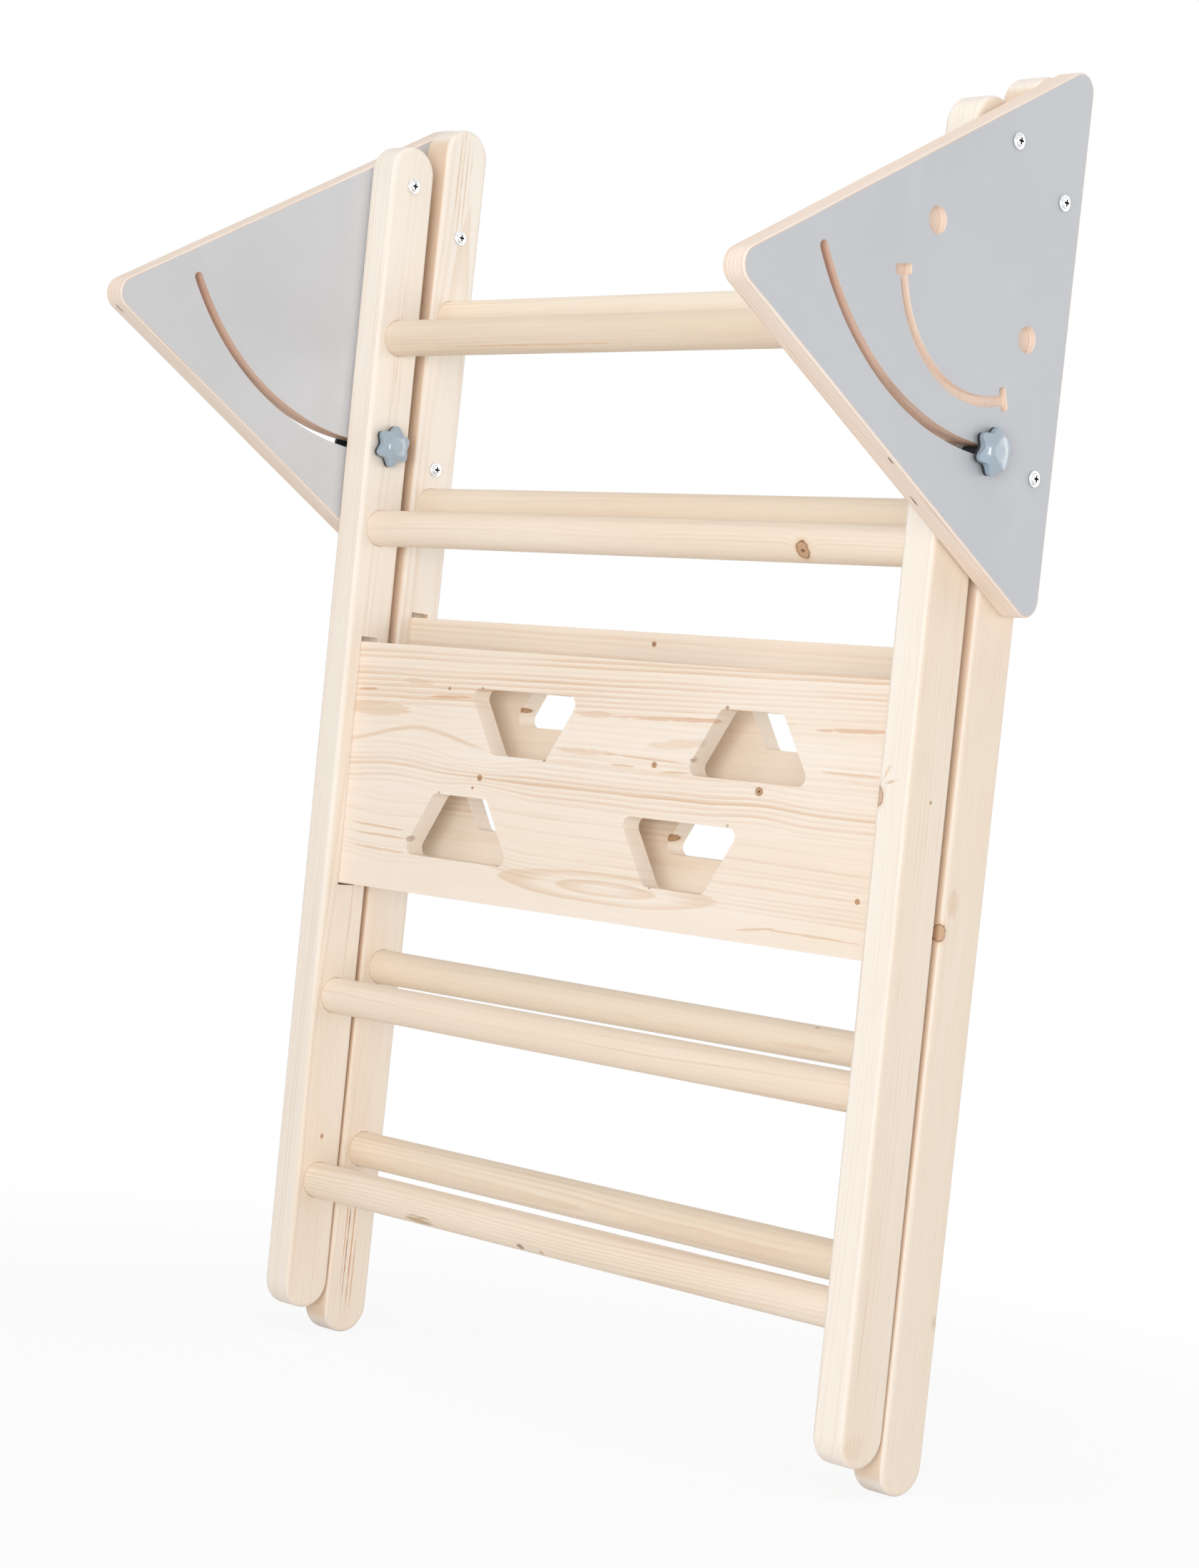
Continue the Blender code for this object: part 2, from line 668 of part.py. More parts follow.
def knob_base(name, body, x, z):
    hole = LOCK_BOLT_DIAMETER + 2 * FIT
    profile = ring_profile(hole, KNOB_BASE_DIAMETER, 0.0, KNOB_BASE_HEIGHT, KNOB_BASE_ROUNDING)
    item = turned(name, profile, closed=True, steps=ROUND_STEPS)
    attach(item, body, (x, FRONT_Y, z), TO_RIGHT)
    return colour(item, BLACK)


KNOB_FOOT_SHARE = 0.96
KNOB_DOME_SHARES = [0.955, 0.62, 0.30]


def dome_height(reach):
    """Height of the knob's face: a flat middle, then a fall toward the tips of the lobes."""
    flat = KNOB_DOME_SHARES[-1]
    beyond = max(0.0, reach / (KNOB_DIAMETER / 2) - flat) / (1.0 - flat)
    return KNOB_HEIGHT - (KNOB_HEIGHT - KNOB_RIM_HEIGHT) * beyond ** 1.5


def star_knob(name, body, x, z, turn):
    """A lobed knob cut from a dome, with a blind bore for the bolt."""
    bm = bmesh.new()
    bmesh.ops.create_circle(bm, cap_ends=True, segments=KNOB_STEPS, radius=KNOB_DIAMETER / 2)
    outer, inner = KNOB_DIAMETER / 2, KNOB_VALLEY / 2
    rim = []
    for vert in bm.verts:
        direction = vert.co.normalized()
        angle = Vector((1.0, 0.0)).angle_signed(vert.co.xy)
        lobe = (0.5 + 0.5 * cos(KNOB_LOBES * angle)) ** KNOB_LOBE_SLIMNESS
        reach = inner + (outer - inner) * lobe
        vert.co = direction * (reach * KNOB_FOOT_SHARE)
        rim.append(direction * reach)
    foot = bm.faces[:][0]
    face = foot
    for share in ["wall foot", "wall top"] + KNOB_DOME_SHARES:
        grown = bmesh.ops.extrude_face_region(bm, geom=[face])["geom"]
        if face is not foot:
            bmesh.ops.delete(bm, geom=[face], context="FACES_ONLY")
        face = [part for part in grown if isinstance(part, bmesh.types.BMFace)][0]
        for vert in face.verts:
            flat = Vector((vert.co.x, vert.co.y, 0.0)).normalized()
            edge = max(rim, key=lambda place: place.normalized().dot(flat))
            if share == "wall foot":
                vert.co = edge
                vert.co.z = KNOB_EASING
            elif share == "wall top":
                vert.co = edge
                vert.co.z = dome_height(edge.length) - KNOB_EASING
            elif share == KNOB_DOME_SHARES[-1]:
                vert.co = flat * (outer * share)
                vert.co.z = KNOB_HEIGHT
            else:
                vert.co = edge * share
                vert.co.z = dome_height(edge.length * share)
    bmesh.ops.recalc_face_normals(bm, faces=bm.faces)
    bmesh.ops.rotate(bm, cent=(0.0, 0.0, 0.0), matrix=Matrix.Rotation(radians(turn), 3, "Z"), verts=bm.verts)
    item = mesh_object(name, bm)
    smooth(item.data)
    attach(item, body, (x, FRONT_Y, z), TO_RIGHT)

    cutter_bm = bmesh.new()
    end = LOCK_BOLT_GRIP + KNOB_BORE_SPARE
    place = Vector((x, FRONT_Y, z))
    rod(cutter_bm, (-OVERRUN, 0.0, 0.0), (end, 0.0, 0.0), LOCK_BOLT_DIAMETER + 2 * FIT)
    cutter = mesh_object(name + "_bore", cutter_bm, CUTTERS)
    attach(cutter, body, place)
    cut(item, cutter)
    return colour(item, KNOB_GREY)


def build():
    back = carrier("back_frame", Vector((0.0, 0.0, 0.0)))
    front = carrier("front_ladder_pivot", PIVOT, back, FOLD_LEAN)
    lock_z = PIVOT.z - LOCK_RADIUS

    fixings = [(UPPER_FIXING_DROP, BARREL_DIAMETER), (LOWER_FIXING_DROP, BARREL_DIAMETER)]
    moving = [(PIVOT_DROP, BARREL_DIAMETER), (PIVOT_DROP + LOCK_RADIUS, LOCK_BOLT_DIAMETER)]
    for side in (-1, 1):
        rail("front", side, front, FRONT_Y, FRONT_TOP, FRONT_RAIL_LENGTH, FRONT_OUTER, moving)
        rail("back", side, back, BACK_Y, BACK_TOP, BACK_RAIL_LENGTH, BACK_OUTER, fixings)
    for number, drop in enumerate(rung_drops("front"), start=1):
        rung("front", number, drop, front, FRONT_Y, FRONT_TOP, FRONT_INNER)
    for number, drop in enumerate(rung_drops("back"), start=1):
        rung("back", number, drop, back, BACK_Y, BACK_TOP, BACK_INNER)
    board("front", front, FRONT_Y, FRONT_TOP, FRONT_INNER)
    board("back", back, BACK_Y, BACK_TOP, BACK_INNER)

    for side in (-1, 1):
        word = "right" if side > 0 else "left"
        plate = side_plate(side, back)
        if side > 0:
            smiling_face(plate, back)
        furniture_bolt("pivot", side, back, PIVOT.y, PIVOT.z, FRONT_INNER)
        furniture_bolt("upper_fixing", side, back, BACK_Y, BACK_TOP - UPPER_FIXING_DROP, BACK_INNER)
        furniture_bolt("lower_fixing", side, back, BACK_Y, BACK_TOP - LOWER_FIXING_DROP, BACK_INNER)
        washer("pivot_washer_" + word, back, side, PIVOT.y, PIVOT.z, BARREL_DIAMETER)
        washer("lock_washer_" + word, front, side, FRONT_Y, lock_z, LOCK_BOLT_DIAMETER)

    faces = {"left": -PLATE_OUTER, "right": FRONT_INNER}
    for word, face in faces.items():
        far = face + LOCK_STACK
        lock_bolt("lock_bolt_" + word, front, face - FIT, lock_z)
        knob_base("knob_base_" + word, front, far + FIT, lock_z)
        star_knob("star_knob_" + word, front, far + KNOB_RISE, lock_z, KNOB_TURN_DEG[word])


build()
bpy.context.view_layer.update()
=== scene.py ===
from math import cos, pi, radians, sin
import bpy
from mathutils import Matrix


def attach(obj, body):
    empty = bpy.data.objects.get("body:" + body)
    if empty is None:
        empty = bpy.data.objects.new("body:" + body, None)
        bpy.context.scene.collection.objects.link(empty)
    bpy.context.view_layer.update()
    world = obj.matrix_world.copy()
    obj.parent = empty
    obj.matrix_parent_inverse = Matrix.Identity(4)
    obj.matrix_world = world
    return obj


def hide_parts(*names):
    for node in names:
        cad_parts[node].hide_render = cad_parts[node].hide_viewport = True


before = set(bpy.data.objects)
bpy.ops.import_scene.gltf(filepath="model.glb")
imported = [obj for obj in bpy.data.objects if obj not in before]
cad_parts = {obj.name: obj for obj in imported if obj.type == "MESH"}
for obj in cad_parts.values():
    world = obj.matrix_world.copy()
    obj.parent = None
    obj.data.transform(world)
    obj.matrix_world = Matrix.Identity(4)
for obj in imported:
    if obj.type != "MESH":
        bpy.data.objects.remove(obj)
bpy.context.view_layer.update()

# Folding climbing triangle, folded and standing upright: fine shapes, wood, plywood, metal and plastic.
# Sizes are metres. Ladder measures: x from the middle, y back from the front of the front rails, z up.

from types import SimpleNamespace

import bmesh
import bpy
from mathutils import Matrix, Vector

# Sizes of the wooden pieces
FIT = 0.0003
LADDER_WIDTH = 0.760
RAIL_THICKNESS = 0.0345
RAIL_DEPTH = 0.053
RAIL_ROUNDING = 0.005
BACK_RAIL_LENGTH = 1.201
FRONT_RAIL_LENGTH = 1.144
FRONT_RAIL_DROP = 0.0303
LADDER_GAP = 0.0147
FOLD_LEAN = radians(0.69)
RUNG_DIAMETER = 0.035
SLIM_RUNG = (0.0340, 0.0308)  # diameters at its left and right ends
RUNG_SEAT = 0.018
UPPER_RUNG_SHARES = (0.3856, 0.7691)
LOWER_RUNG_SHARES = {"front": (0.2642, 0.6979), "back": (0.2328, 0.6148)}
BOARD_DROP = 0.485
BOARD_HEIGHT = 0.237
BOARD_THICKNESS = 0.0205
BOARD_EASING = 0.0015
BOARD_GROOVE = 0.010
GROOVE_OVER = 0.005
GROOVE_UNDER = 0.0025
HOLE_LONG = 0.133
HOLE_SHORT = 0.088
HOLE_HEIGHT = 0.061
HOLE_MARGIN = 0.0365
HOLE_ROUNDING = 0.008
HOLE_NEAR = 0.107
HOLE_FAR = 0.182

# Sizes of the side plates, the face in the right one, the locks and the bolts
PLATE_SIDE = 0.480
PLATE_TILT = radians(30)
PLATE_THICKNESS = 0.0229
PLATE_ROUNDING = 0.016
PLATE_EASING = 0.0018
PLATE_RISE = 0.0158
PLATE_INSET = 0.0017
SIDE_PLAY = 0.0012
PIVOT_DROP = 0.0386
LOCK_RADIUS = 0.2544
SLOT_WIDTH = 0.0093
SLOT_SPARE = radians(0.8)
SLOT_FIRST = -(FOLD_LEAN + SLOT_SPARE)
SLOT_LAST = radians(60.0)
POCKET_DEPTH = 0.0065
EYE_DIAMETER = 0.0225
EYE_DOWN = 0.2355
EYE_APART = 0.149
SMILE_CENTRE = 0.2227
SMILE_RADIUS = 0.1073
SMILE_WIDTH = 0.009
SMILE_SPAN = radians(49.5)
SMILE_BAR_LONG = 0.020
SMILE_BAR_WIDE = 0.0088
SMILE_BAR_ROUNDING = 0.0025
LOCK_BOLT_DIAMETER = 0.008
LOCK_HEAD_DIAMETER = 0.0355
LOCK_HEAD_HEIGHT = 0.0045
KNOB_DIAMETER = 0.041
KNOB_VALLEY = 0.031
KNOB_HEIGHT = 0.0117
KNOB_TIP_HEIGHT = 0.0067
KNOB_FLAT = 0.30
KNOB_FOOT_HEIGHT = 0.0031
KNOB_LOBES = 6
KNOB_LOBE_SLIMNESS = 1.2
KNOB_TURN = {"left": radians(-6.0), "right": radians(-7.0)}
KNOB_EASING = 0.0006
KNOB_SEAM = 0.0001
KNOB_BASE_DIAMETER = 0.027
KNOB_BASE_HEIGHT = 0.0015
KNOB_BASE_SHOULDER = 0.0009
BOLT_GRIP = 0.008
HEAD_DIAMETER = 0.014
HEAD_HEIGHT = 0.0030
BARREL_DIAMETER = 0.008
SCREW_DIAMETER = 0.006
SCREW_LENGTH = 0.030
SCREW_POINT = 0.001
BARREL_SHORT = 0.006
CROSS_REACH = 0.0070
CROSS_ARM = 0.0021
CROSS_DEPTH = 0.0026
CROSS_TAPER = 0.72
RECESS_SHARE = 0.29
UPPER_FIXING_DROP = 0.1065
LOWER_FIXING_DROP = 0.337
WASHER_DIAMETER = 0.022
WASHER_EASING = 0.00015
RUNG_EASING = 0.0012
BOLT_EASING = 0.0002
FINE_EASING = 0.0004

# How far a cutter reaches past the surface that it opens, and a second one past it, so that no faces coincide
OVERRUN = 0.010
STAGGER = 0.001

# Points this close are one, after turning and after cutting, and faces this close lie in one plane
SAME_POINT = 0.000002
WELD = 0.000005
SAME_PLANE = 0.0001

# Steps round a full circle
RAIL_STEPS = 96
RUNG_STEPS = 72
SEAT_STEPS = 64
BOLT_STEPS = 48
HOLE_STEPS = 32
LOBE_STEPS = 30  # round one lobe of a star knob

# Places that follow from the sizes
BACK_TOP = BACK_RAIL_LENGTH
FRONT_TOP = BACK_TOP - FRONT_RAIL_DROP
FRONT_Y = RAIL_DEPTH / 2
BACK_Y = RAIL_DEPTH + LADDER_GAP + RAIL_DEPTH / 2
REAR_Y = BACK_Y + RAIL_DEPTH / 2
FRONT_OUTER = LADDER_WIDTH / 2
FRONT_INNER = FRONT_OUTER - RAIL_THICKNESS
PLATE_INNER = FRONT_OUTER + SIDE_PLAY
PLATE_OUTER = PLATE_INNER + PLATE_THICKNESS
BACK_OUTER = PLATE_INNER - FIT
BACK_INNER = BACK_OUTER - RAIL_THICKNESS
PIVOT = Vector((0.0, FRONT_Y, FRONT_TOP - PIVOT_DROP))
LOCK_Z = PIVOT.z - LOCK_RADIUS
EDGE_Y = REAR_Y - PLATE_INSET
REACH = PLATE_SIDE * cos(PLATE_TILT)
CORNERS = [
    Vector((EDGE_Y, BACK_TOP + PLATE_RISE)),
    Vector((EDGE_Y - REACH, BACK_TOP + PLATE_RISE - PLATE_SIDE / 2)),
    Vector((EDGE_Y, BACK_TOP + PLATE_RISE - PLATE_SIDE)),
]
TIP_Y = EDGE_Y - REACH + PLATE_ROUNDING
SLOT_LOW_Z = LOCK_Z - SLOT_WIDTH
SLOT_HIGH_Z = PIVOT.z - LOCK_RADIUS * cos(SLOT_LAST) + SLOT_WIDTH
KNOB_SEAT = FIT + KNOB_BASE_HEIGHT + FIT
LEFT_REACH = PLATE_OUTER + FIT + LOCK_HEAD_HEIGHT
RIGHT_REACH = PLATE_OUTER + KNOB_SEAT + KNOB_HEIGHT
ORIGIN = Vector(((RIGHT_REACH - LEFT_REACH) / 2, (REAR_Y + TIP_Y) / 2, 0.0))

TO_ROOM = Matrix.Translation(-ORIGIN)
HINGE_LINE = Matrix.Translation(PIVOT)
LEANING = TO_ROOM @ HINGE_LINE @ Matrix.Rotation(FOLD_LEAN, 4, "X") @ HINGE_LINE.inverted()

# The two ladders; each hole in their rails says how far below the top it lies, and what goes through it
FRONT = SimpleNamespace(
    word="front", y=FRONT_Y, top=FRONT_TOP, length=FRONT_RAIL_LENGTH, outer=FRONT_OUTER, inner=FRONT_INNER,
    body="front_ladder", place=LEANING,
    holes=[(PIVOT_DROP, BARREL_DIAMETER), (PIVOT_DROP + LOCK_RADIUS, LOCK_BOLT_DIAMETER)],
)
BACK = SimpleNamespace(
    word="back", y=BACK_Y, top=BACK_TOP, length=BACK_RAIL_LENGTH, outer=BACK_OUTER, inner=BACK_INNER,
    body="back_frame", place=TO_ROOM,
    holes=[(UPPER_FIXING_DROP, BARREL_DIAMETER), (LOWER_FIXING_DROP, BARREL_DIAMETER)],
)
BOLT_PLACES = {
    "pivot": (PIVOT.y, PIVOT.z),
    "upper_fixing": (BACK_Y, BACK_TOP - UPPER_FIXING_DROP),
    "lower_fixing": (BACK_Y, BACK_TOP - LOWER_FIXING_DROP),
}


def side_word(side):
    return "right" if side > 0 else "left"


# Shapes

def ring(bm, middle, radius, steps, facing="X", cap=False):
    """A ring of points about an axis, ready to be drawn tight or extruded."""
    turn = {"X": Matrix.Rotation(pi / 2, 4, "Y"), "Y": Matrix.Rotation(pi / 2, 4, "X"), "Z": Matrix()}[facing]
    return bmesh.ops.create_circle(
        bm, cap_ends=cap, segments=steps, radius=radius, matrix=Matrix.Translation(middle) @ turn
    )["verts"]


def drawn_tight(bm):
    """Skin the rings in the mesh like a cloth pulled round them, and join its flat faces."""
    hull = bmesh.ops.convex_hull(bm, input=bm.verts, use_existing_faces=False)
    inside = {part for key in ("geom_interior", "geom_unused") for part in hull[key]}
    spare = [part for part in inside if isinstance(part, bmesh.types.BMVert) and part.is_valid]
    bmesh.ops.delete(bm, geom=spare, context="VERTS")
    bmesh.ops.dissolve_limit(bm, angle_limit=radians(0.4), verts=bm.verts, edges=bm.edges)
    bmesh.ops.recalc_face_normals(bm, faces=bm.faces)
    return bm


def slab(centres, radius, low, high, steps=RAIL_STEPS, facing="X"):
    """A flat piece with round corners: one disc at each centre, and everything between them."""
    bm = bmesh.new()
    for first, second in centres:
        for level in (low, high):
            middle = (level, first, second) if facing == "X" else (first, level, second)
            ring(bm, middle, radius, steps, facing)
    return drawn_tight(bm)


def round_rim(bm, width, segments, sharper=50, only=None):
    """Round the edges that are sharper than an angle in degrees, or only those that a test picks."""
    rim = [edge for edge in bm.edges if edge.calc_face_angle(0.0) > radians(sharper)]
    if only:
        rim = [edge for edge in rim if only(edge)]
    bmesh.ops.bevel(
        bm, geom=rim, offset=width, offset_type="OFFSET", segments=segments, profile=0.5, affect="EDGES",
        clamp_overlap=True, material=-1,
    )
    return bm


def bar(bm, start, end, diameter, last_diameter=None, steps=SEAT_STEPS):
    """A round bar along X."""
    middle = Matrix.Translation(((start[0] + end[0]) / 2, start[1], start[2]))
    bmesh.ops.create_cone(
        bm, cap_ends=True, segments=steps, radius1=diameter / 2, radius2=(last_diameter or diameter) / 2,
        depth=end[0] - start[0], matrix=middle @ Matrix.Rotation(pi / 2, 4, "Y"),
    )


def block(bm, low, high):
    """A box between two opposite corners."""
    low, high = Vector(low), Vector(high)
    stretch = Matrix.Diagonal((*(high - low), 1.0))
    bmesh.ops.create_cube(bm, size=1.0, matrix=Matrix.Translation((low + high) / 2) @ stretch)


def turned(profile, steps=BOLT_STEPS):
    """A piece turned about X: the profile gives how far along and how far out, closed on the axis."""
    bm = bmesh.new()
    points = [bm.verts.new((along, 0.0, out)) for along, out in profile]
    edges = [bm.edges.new(pair) for pair in zip(points, points[1:])]
    bmesh.ops.spin(
        bm, geom=points + edges, cent=(0.0, 0.0, 0.0), axis=(1.0, 0.0, 0.0), angle=2 * pi, steps=steps,
        use_merge=True,
    )
    bmesh.ops.remove_doubles(bm, verts=bm.verts, dist=SAME_POINT)
    bmesh.ops.recalc_face_normals(bm, faces=bm.faces)
    return bm


def arc_groove(pivot, radius, width, first, last, low, high, steps):
    """A curved cutter along an arc about a pivot, with round ends; angles run forward from straight down."""
    bm = bmesh.new()
    foot = pivot.y - radius
    block(bm, (low, pivot.x, foot - width / 2), (high, pivot.x + STAGGER, foot + width / 2))
    start = [face for face in bm.faces if face.normal.y > 0.9]
    bmesh.ops.delete(bm, geom=[face for face in bm.faces if face not in start], context="FACES")
    for vert in bm.verts:
        vert.co.y = pivot.x
    centre = (0.0, pivot.x, pivot.y)
    bmesh.ops.rotate(bm, cent=centre, matrix=Matrix.Rotation(-first, 3, "X"), verts=bm.verts)
    bmesh.ops.spin(
        bm, geom=bm.faces[:], cent=centre, axis=(-1.0, 0.0, 0.0), angle=last - first, steps=steps,
    )
    bmesh.ops.recalc_face_normals(bm, faces=bm.faces)
    return bm


def scratch_object(bm):
    """An object that holds a mesh only while it is cut."""
    mesh = bpy.data.meshes.new("scratch")
    bm.to_mesh(mesh)
    item = bpy.data.objects.new("scratch", mesh)
    bpy.context.scene.collection.objects.link(item)
    return item


def carve(bm, cutters):
    """Take each cutter out of the piece; the result replaces what the mesh held."""
    piece = scratch_object(bm)
    tools = []
    for cutter in cutters:
        tool = scratch_object(cutter)
        tools.append(tool)
        cut = piece.modifiers.new("cut", "BOOLEAN")
        cut.operation = "DIFFERENCE"
        cut.solver = "EXACT"
        cut.object = tool
        cutter.free()
    graph = bpy.context.evaluated_depsgraph_get()
    mesh = bpy.data.meshes.new_from_object(piece.evaluated_get(graph))
    bm.clear()
    bm.from_mesh(mesh)
    bpy.data.meshes.remove(mesh)
    for item in [piece] + tools:
        spent = item.data
        bpy.data.objects.remove(item, do_unlink=True)
        bpy.data.meshes.remove(spent)
    bmesh.ops.remove_doubles(bm, verts=bm.verts, dist=WELD)
    bmesh.ops.dissolve_degenerate(bm, dist=WELD, edges=bm.edges)
    return bm


def finished(node, bm, body, materials, place=TO_ROOM, sharp=32):
    """Turn a mesh into the fine piece for a node: its place goes into the mesh, and it rides on a body."""
    bmesh.ops.transform(bm, matrix=place, verts=bm.verts)
    mesh = bpy.data.meshes.new(f"{node}_fine")
    bm.to_mesh(mesh)
    bm.free()
    mesh.shade_smooth()
    mesh.set_sharp_from_angle(angle=radians(sharp))
    item = bpy.data.objects.new(f"{node}_fine", mesh)
    bpy.context.scene.collection.objects.link(item)
    for material in materials:
        mesh.materials.append(material)
    even = item.modifiers.new("even_shading", "WEIGHTED_NORMAL")
    even.keep_sharp = True
    even.weight = 100
    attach(item, body)
    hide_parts(node)
    return item


def moved(bm, *place):
    bmesh.ops.translate(bm, verts=bm.verts, vec=place)
    return bm


# Materials

def add_node(tree, kind, inputs=None, **settings):
    """A shader node with its settings; an input takes a number, a colour, a field or a socket."""
    made = tree.nodes.new("ShaderNode" + kind)
    for name, value in settings.items():
        setattr(made, name, value)
    feed(made, inputs or {})
    return made


def feed(node, inputs):
    for name, value in inputs.items():
        value = value.socket if isinstance(value, Field) else value
        if isinstance(value, bpy.types.NodeSocket):
            node.id_data.links.new(value, node.inputs[name])
        else:
            node.inputs[name].default_value = value


class Field:
    """A value that changes over a surface, which can be added, multiplied and compared like a number."""

    def __init__(self, tree, socket):
        self.tree = tree
        self.socket = socket

    def math(self, kind, *others):
        made = add_node(self.tree, "Math", dict(enumerate((self, *others))), operation=kind)
        return Field(self.tree, made.outputs[0])

    def __add__(self, other):
        return self.math("ADD", other)

    def __sub__(self, other):
        return self.math("SUBTRACT", other)

    def __mul__(self, other):
        return self.math("MULTIPLY", other)

    def __truediv__(self, other):
        return self.math("DIVIDE", other)

    def squared(self):
        return self * self

    def between(self, low, high, to_low=0.0, to_high=1.0):
        """Read the field on a new scale with soft ends, level outside them."""
        scale = {"Value": self, "From Min": low, "From Max": high, "To Min": to_low, "To Max": to_high}
        made = add_node(self.tree, "MapRange", scale, interpolation_type="SMOOTHSTEP")
        return Field(self.tree, made.outputs["Result"])


class Finish:
    """A material under construction: its shader, the place on the piece, and its colour so far."""

    def __init__(self, name, tint, specular=0.5, metallic=0.0):
        self.material = bpy.data.materials.new(name)
        self.material.use_nodes = True
        self.tree = self.material.node_tree
        self.shader = self.tree.nodes["Principled BSDF"]
        feed(self.shader, {"Specular IOR Level": specular, "Metallic": metallic})
        self.place = self.node("TexCoord").outputs["Object"]
        self.x, self.y, self.z = self.split(self.place)
        self.colour = seen(tint)

    def node(self, kind, inputs=None, **settings):
        return add_node(self.tree, kind, inputs, **settings)

    def field(self, kind, output, inputs, **settings):
        return Field(self.tree, self.node(kind, inputs, **settings).outputs[output])

    def split(self, vector):
        """The three parts of a place or a direction."""
        return [Field(self.tree, part) for part in self.node("SeparateXYZ", {0: vector}).outputs]

    def facing(self):
        """The way that the surface faces, along x, y and z."""
        return self.split(self.node("TexCoord").outputs["Normal"])

    def noise(self, across, detail=2.0, seed=(0.0, 0.0, 0.0)):
        """Cloudy field; across gives how many clouds lie in a metre along x, y and z."""
        spread = self.node("Mapping", {"Vector": self.place, "Location": seed, "Scale": across})
        return self.field("TexNoise", "Fac", {"Vector": spread.outputs[0], "Scale": 1.0, "Detail": detail})

    def chance(self, number):
        """A fixed draw from 0 to 1 for each whole number."""
        return self.field("TexWhiteNoise", "Value", {"W": number}, noise_dimensions="1D")

    def drift(self, number):
        """A smooth wander from 0 to 1 along a number."""
        steady = {"W": number, "Scale": 1.0, "Detail": 1.0}
        return self.field("TexNoise", "Fac", steady, noise_dimensions="1D")

    def oval_place(self, centre, reach, tilt, turn_x=0.0):
        """The place measured from an oval: 0 in its middle and 1 away at its rim."""
        oval = {"Vector": self.place, "Location": centre, "Rotation": (turn_x, -tilt, 0.0), "Scale": reach}
        return self.node("Mapping", oval, vector_type="TEXTURE").outputs[0]

    def spot(self, centre, reach, tilt=0.0, turn_x=0.0):
        """1 in the middle of an oval and 0 at its rim; tilt lifts its far end along x."""
        place = self.oval_place(centre, reach, tilt, turn_x)
        return self.field("TexGradient", "Fac", {"Vector": place}, gradient_type="SPHERICAL")

    def oval(self, centre, reach, tilt=0.0):
        """How far out from the middle of an oval, 1 at its rim and more beyond."""
        place = self.oval_place(centre, reach, tilt)
        return self.field("VectorMath", "Value", {0: place}, operation="LENGTH")

    def lay(self, tint, amount):
        """Lay a tint over the colour so far by an amount from 0 to 1."""
        over = {"Factor": amount, 6: self.colour, 7: seen(tint)}
        self.colour = self.node("Mix", over, data_type="RGBA").outputs[2]

    def done(self, roughness, height, depth):
        """Give the shader its colour, its roughness, and a height for the fine relief, depth at most."""
        relief = self.node("Bump", {"Strength": 1.0, "Distance": depth, "Height": height}).outputs[0]
        feed(self.shader, {"Base Color": self.colour, "Roughness": roughness, "Normal": relief})
        return self.material


def seen(tint):
    """A tint as it is read off a screen, 0 to 255, as the light that it reflects, and fully opaque."""
    light = [((part / 255 + 0.055) / 1.055) ** 2.4 if part > 10 else part / 255 / 12.92 for part in tint]
    return (*light, 1.0)


def swap_axes(grain, across, along):
    """Scales for x, y and z with the grain along one axis."""
    return {"X": (along, across, across), "Z": (across, across, along)}[grain]


BROWN = (218, 180, 140)
DARK_BROWN = (150, 104, 70)
REDDISH = (216, 164, 122)
CREAM = (253, 247, 238)
FIBRE_SHEEN = (255, 250, 244)
# Warmer side faces of the rails: partly their own tone, partly painted warm bounce light
SIDE_WARMTH_AND_PAINTED_BOUNCE = (237, 214, 187)
# Painted shade for the rail faces in the gap between the two ladders
GAP_SHADE = (228, 192, 154)
END_GRAIN = {"X": (248, 237, 222), "Z": (241, 229, 220)}
KNOT_HALO = (226, 186, 144)
KNOT_HEART = (188, 142, 102)
KNOT_RIM = (112, 72, 46)
KNOT_PITH = (92, 56, 36)


def stain(wood, ragged, place, reach, tint, amount, tilt=0.0, soft=0.45):
    """A soft-edged mark: place and reach of an oval, its tint, and how strong it is."""
    near = wood.spot(place, reach, tilt) * ragged.between(0.30, 0.70, 0.25, 1.60)
    wood.lay(tint, near.between(0.02, soft) * amount)


def knot(wood, ragged, place, reach, strength, tilt=0.0):
    """A grown-in branch: a warm halo, a thin dark rim, brown heartwood and a small pith."""
    wide = tuple(part * 1.7 for part in reach)
    near = wood.spot(place, wide, tilt) * ragged.between(0.25, 0.75, 0.85, 1.15)
    rim = near.between(0.36, 0.42) * near.between(0.52, 0.44)
    wood.lay(KNOT_HALO, near.between(0.04, 0.40) * (0.55 * strength))
    wood.lay(KNOT_HEART, near.between(0.38, 0.48) * (0.85 * strength))
    wood.lay(KNOT_RIM, rim * (0.85 * strength))
    wood.lay(KNOT_PITH, near.between(0.80, 0.93) * (0.9 * strength))


def rings_bent_by(wood, reach, knots):
    """Push the yearly rings outward round each knot."""
    for place, size, _, *tilt in knots:
        push = wood.spot(place, tuple(part * 4.0 for part in size), *tilt)
        reach = reach + push.squared() * (max(size[0], size[2]) * 1.3)
    return reach


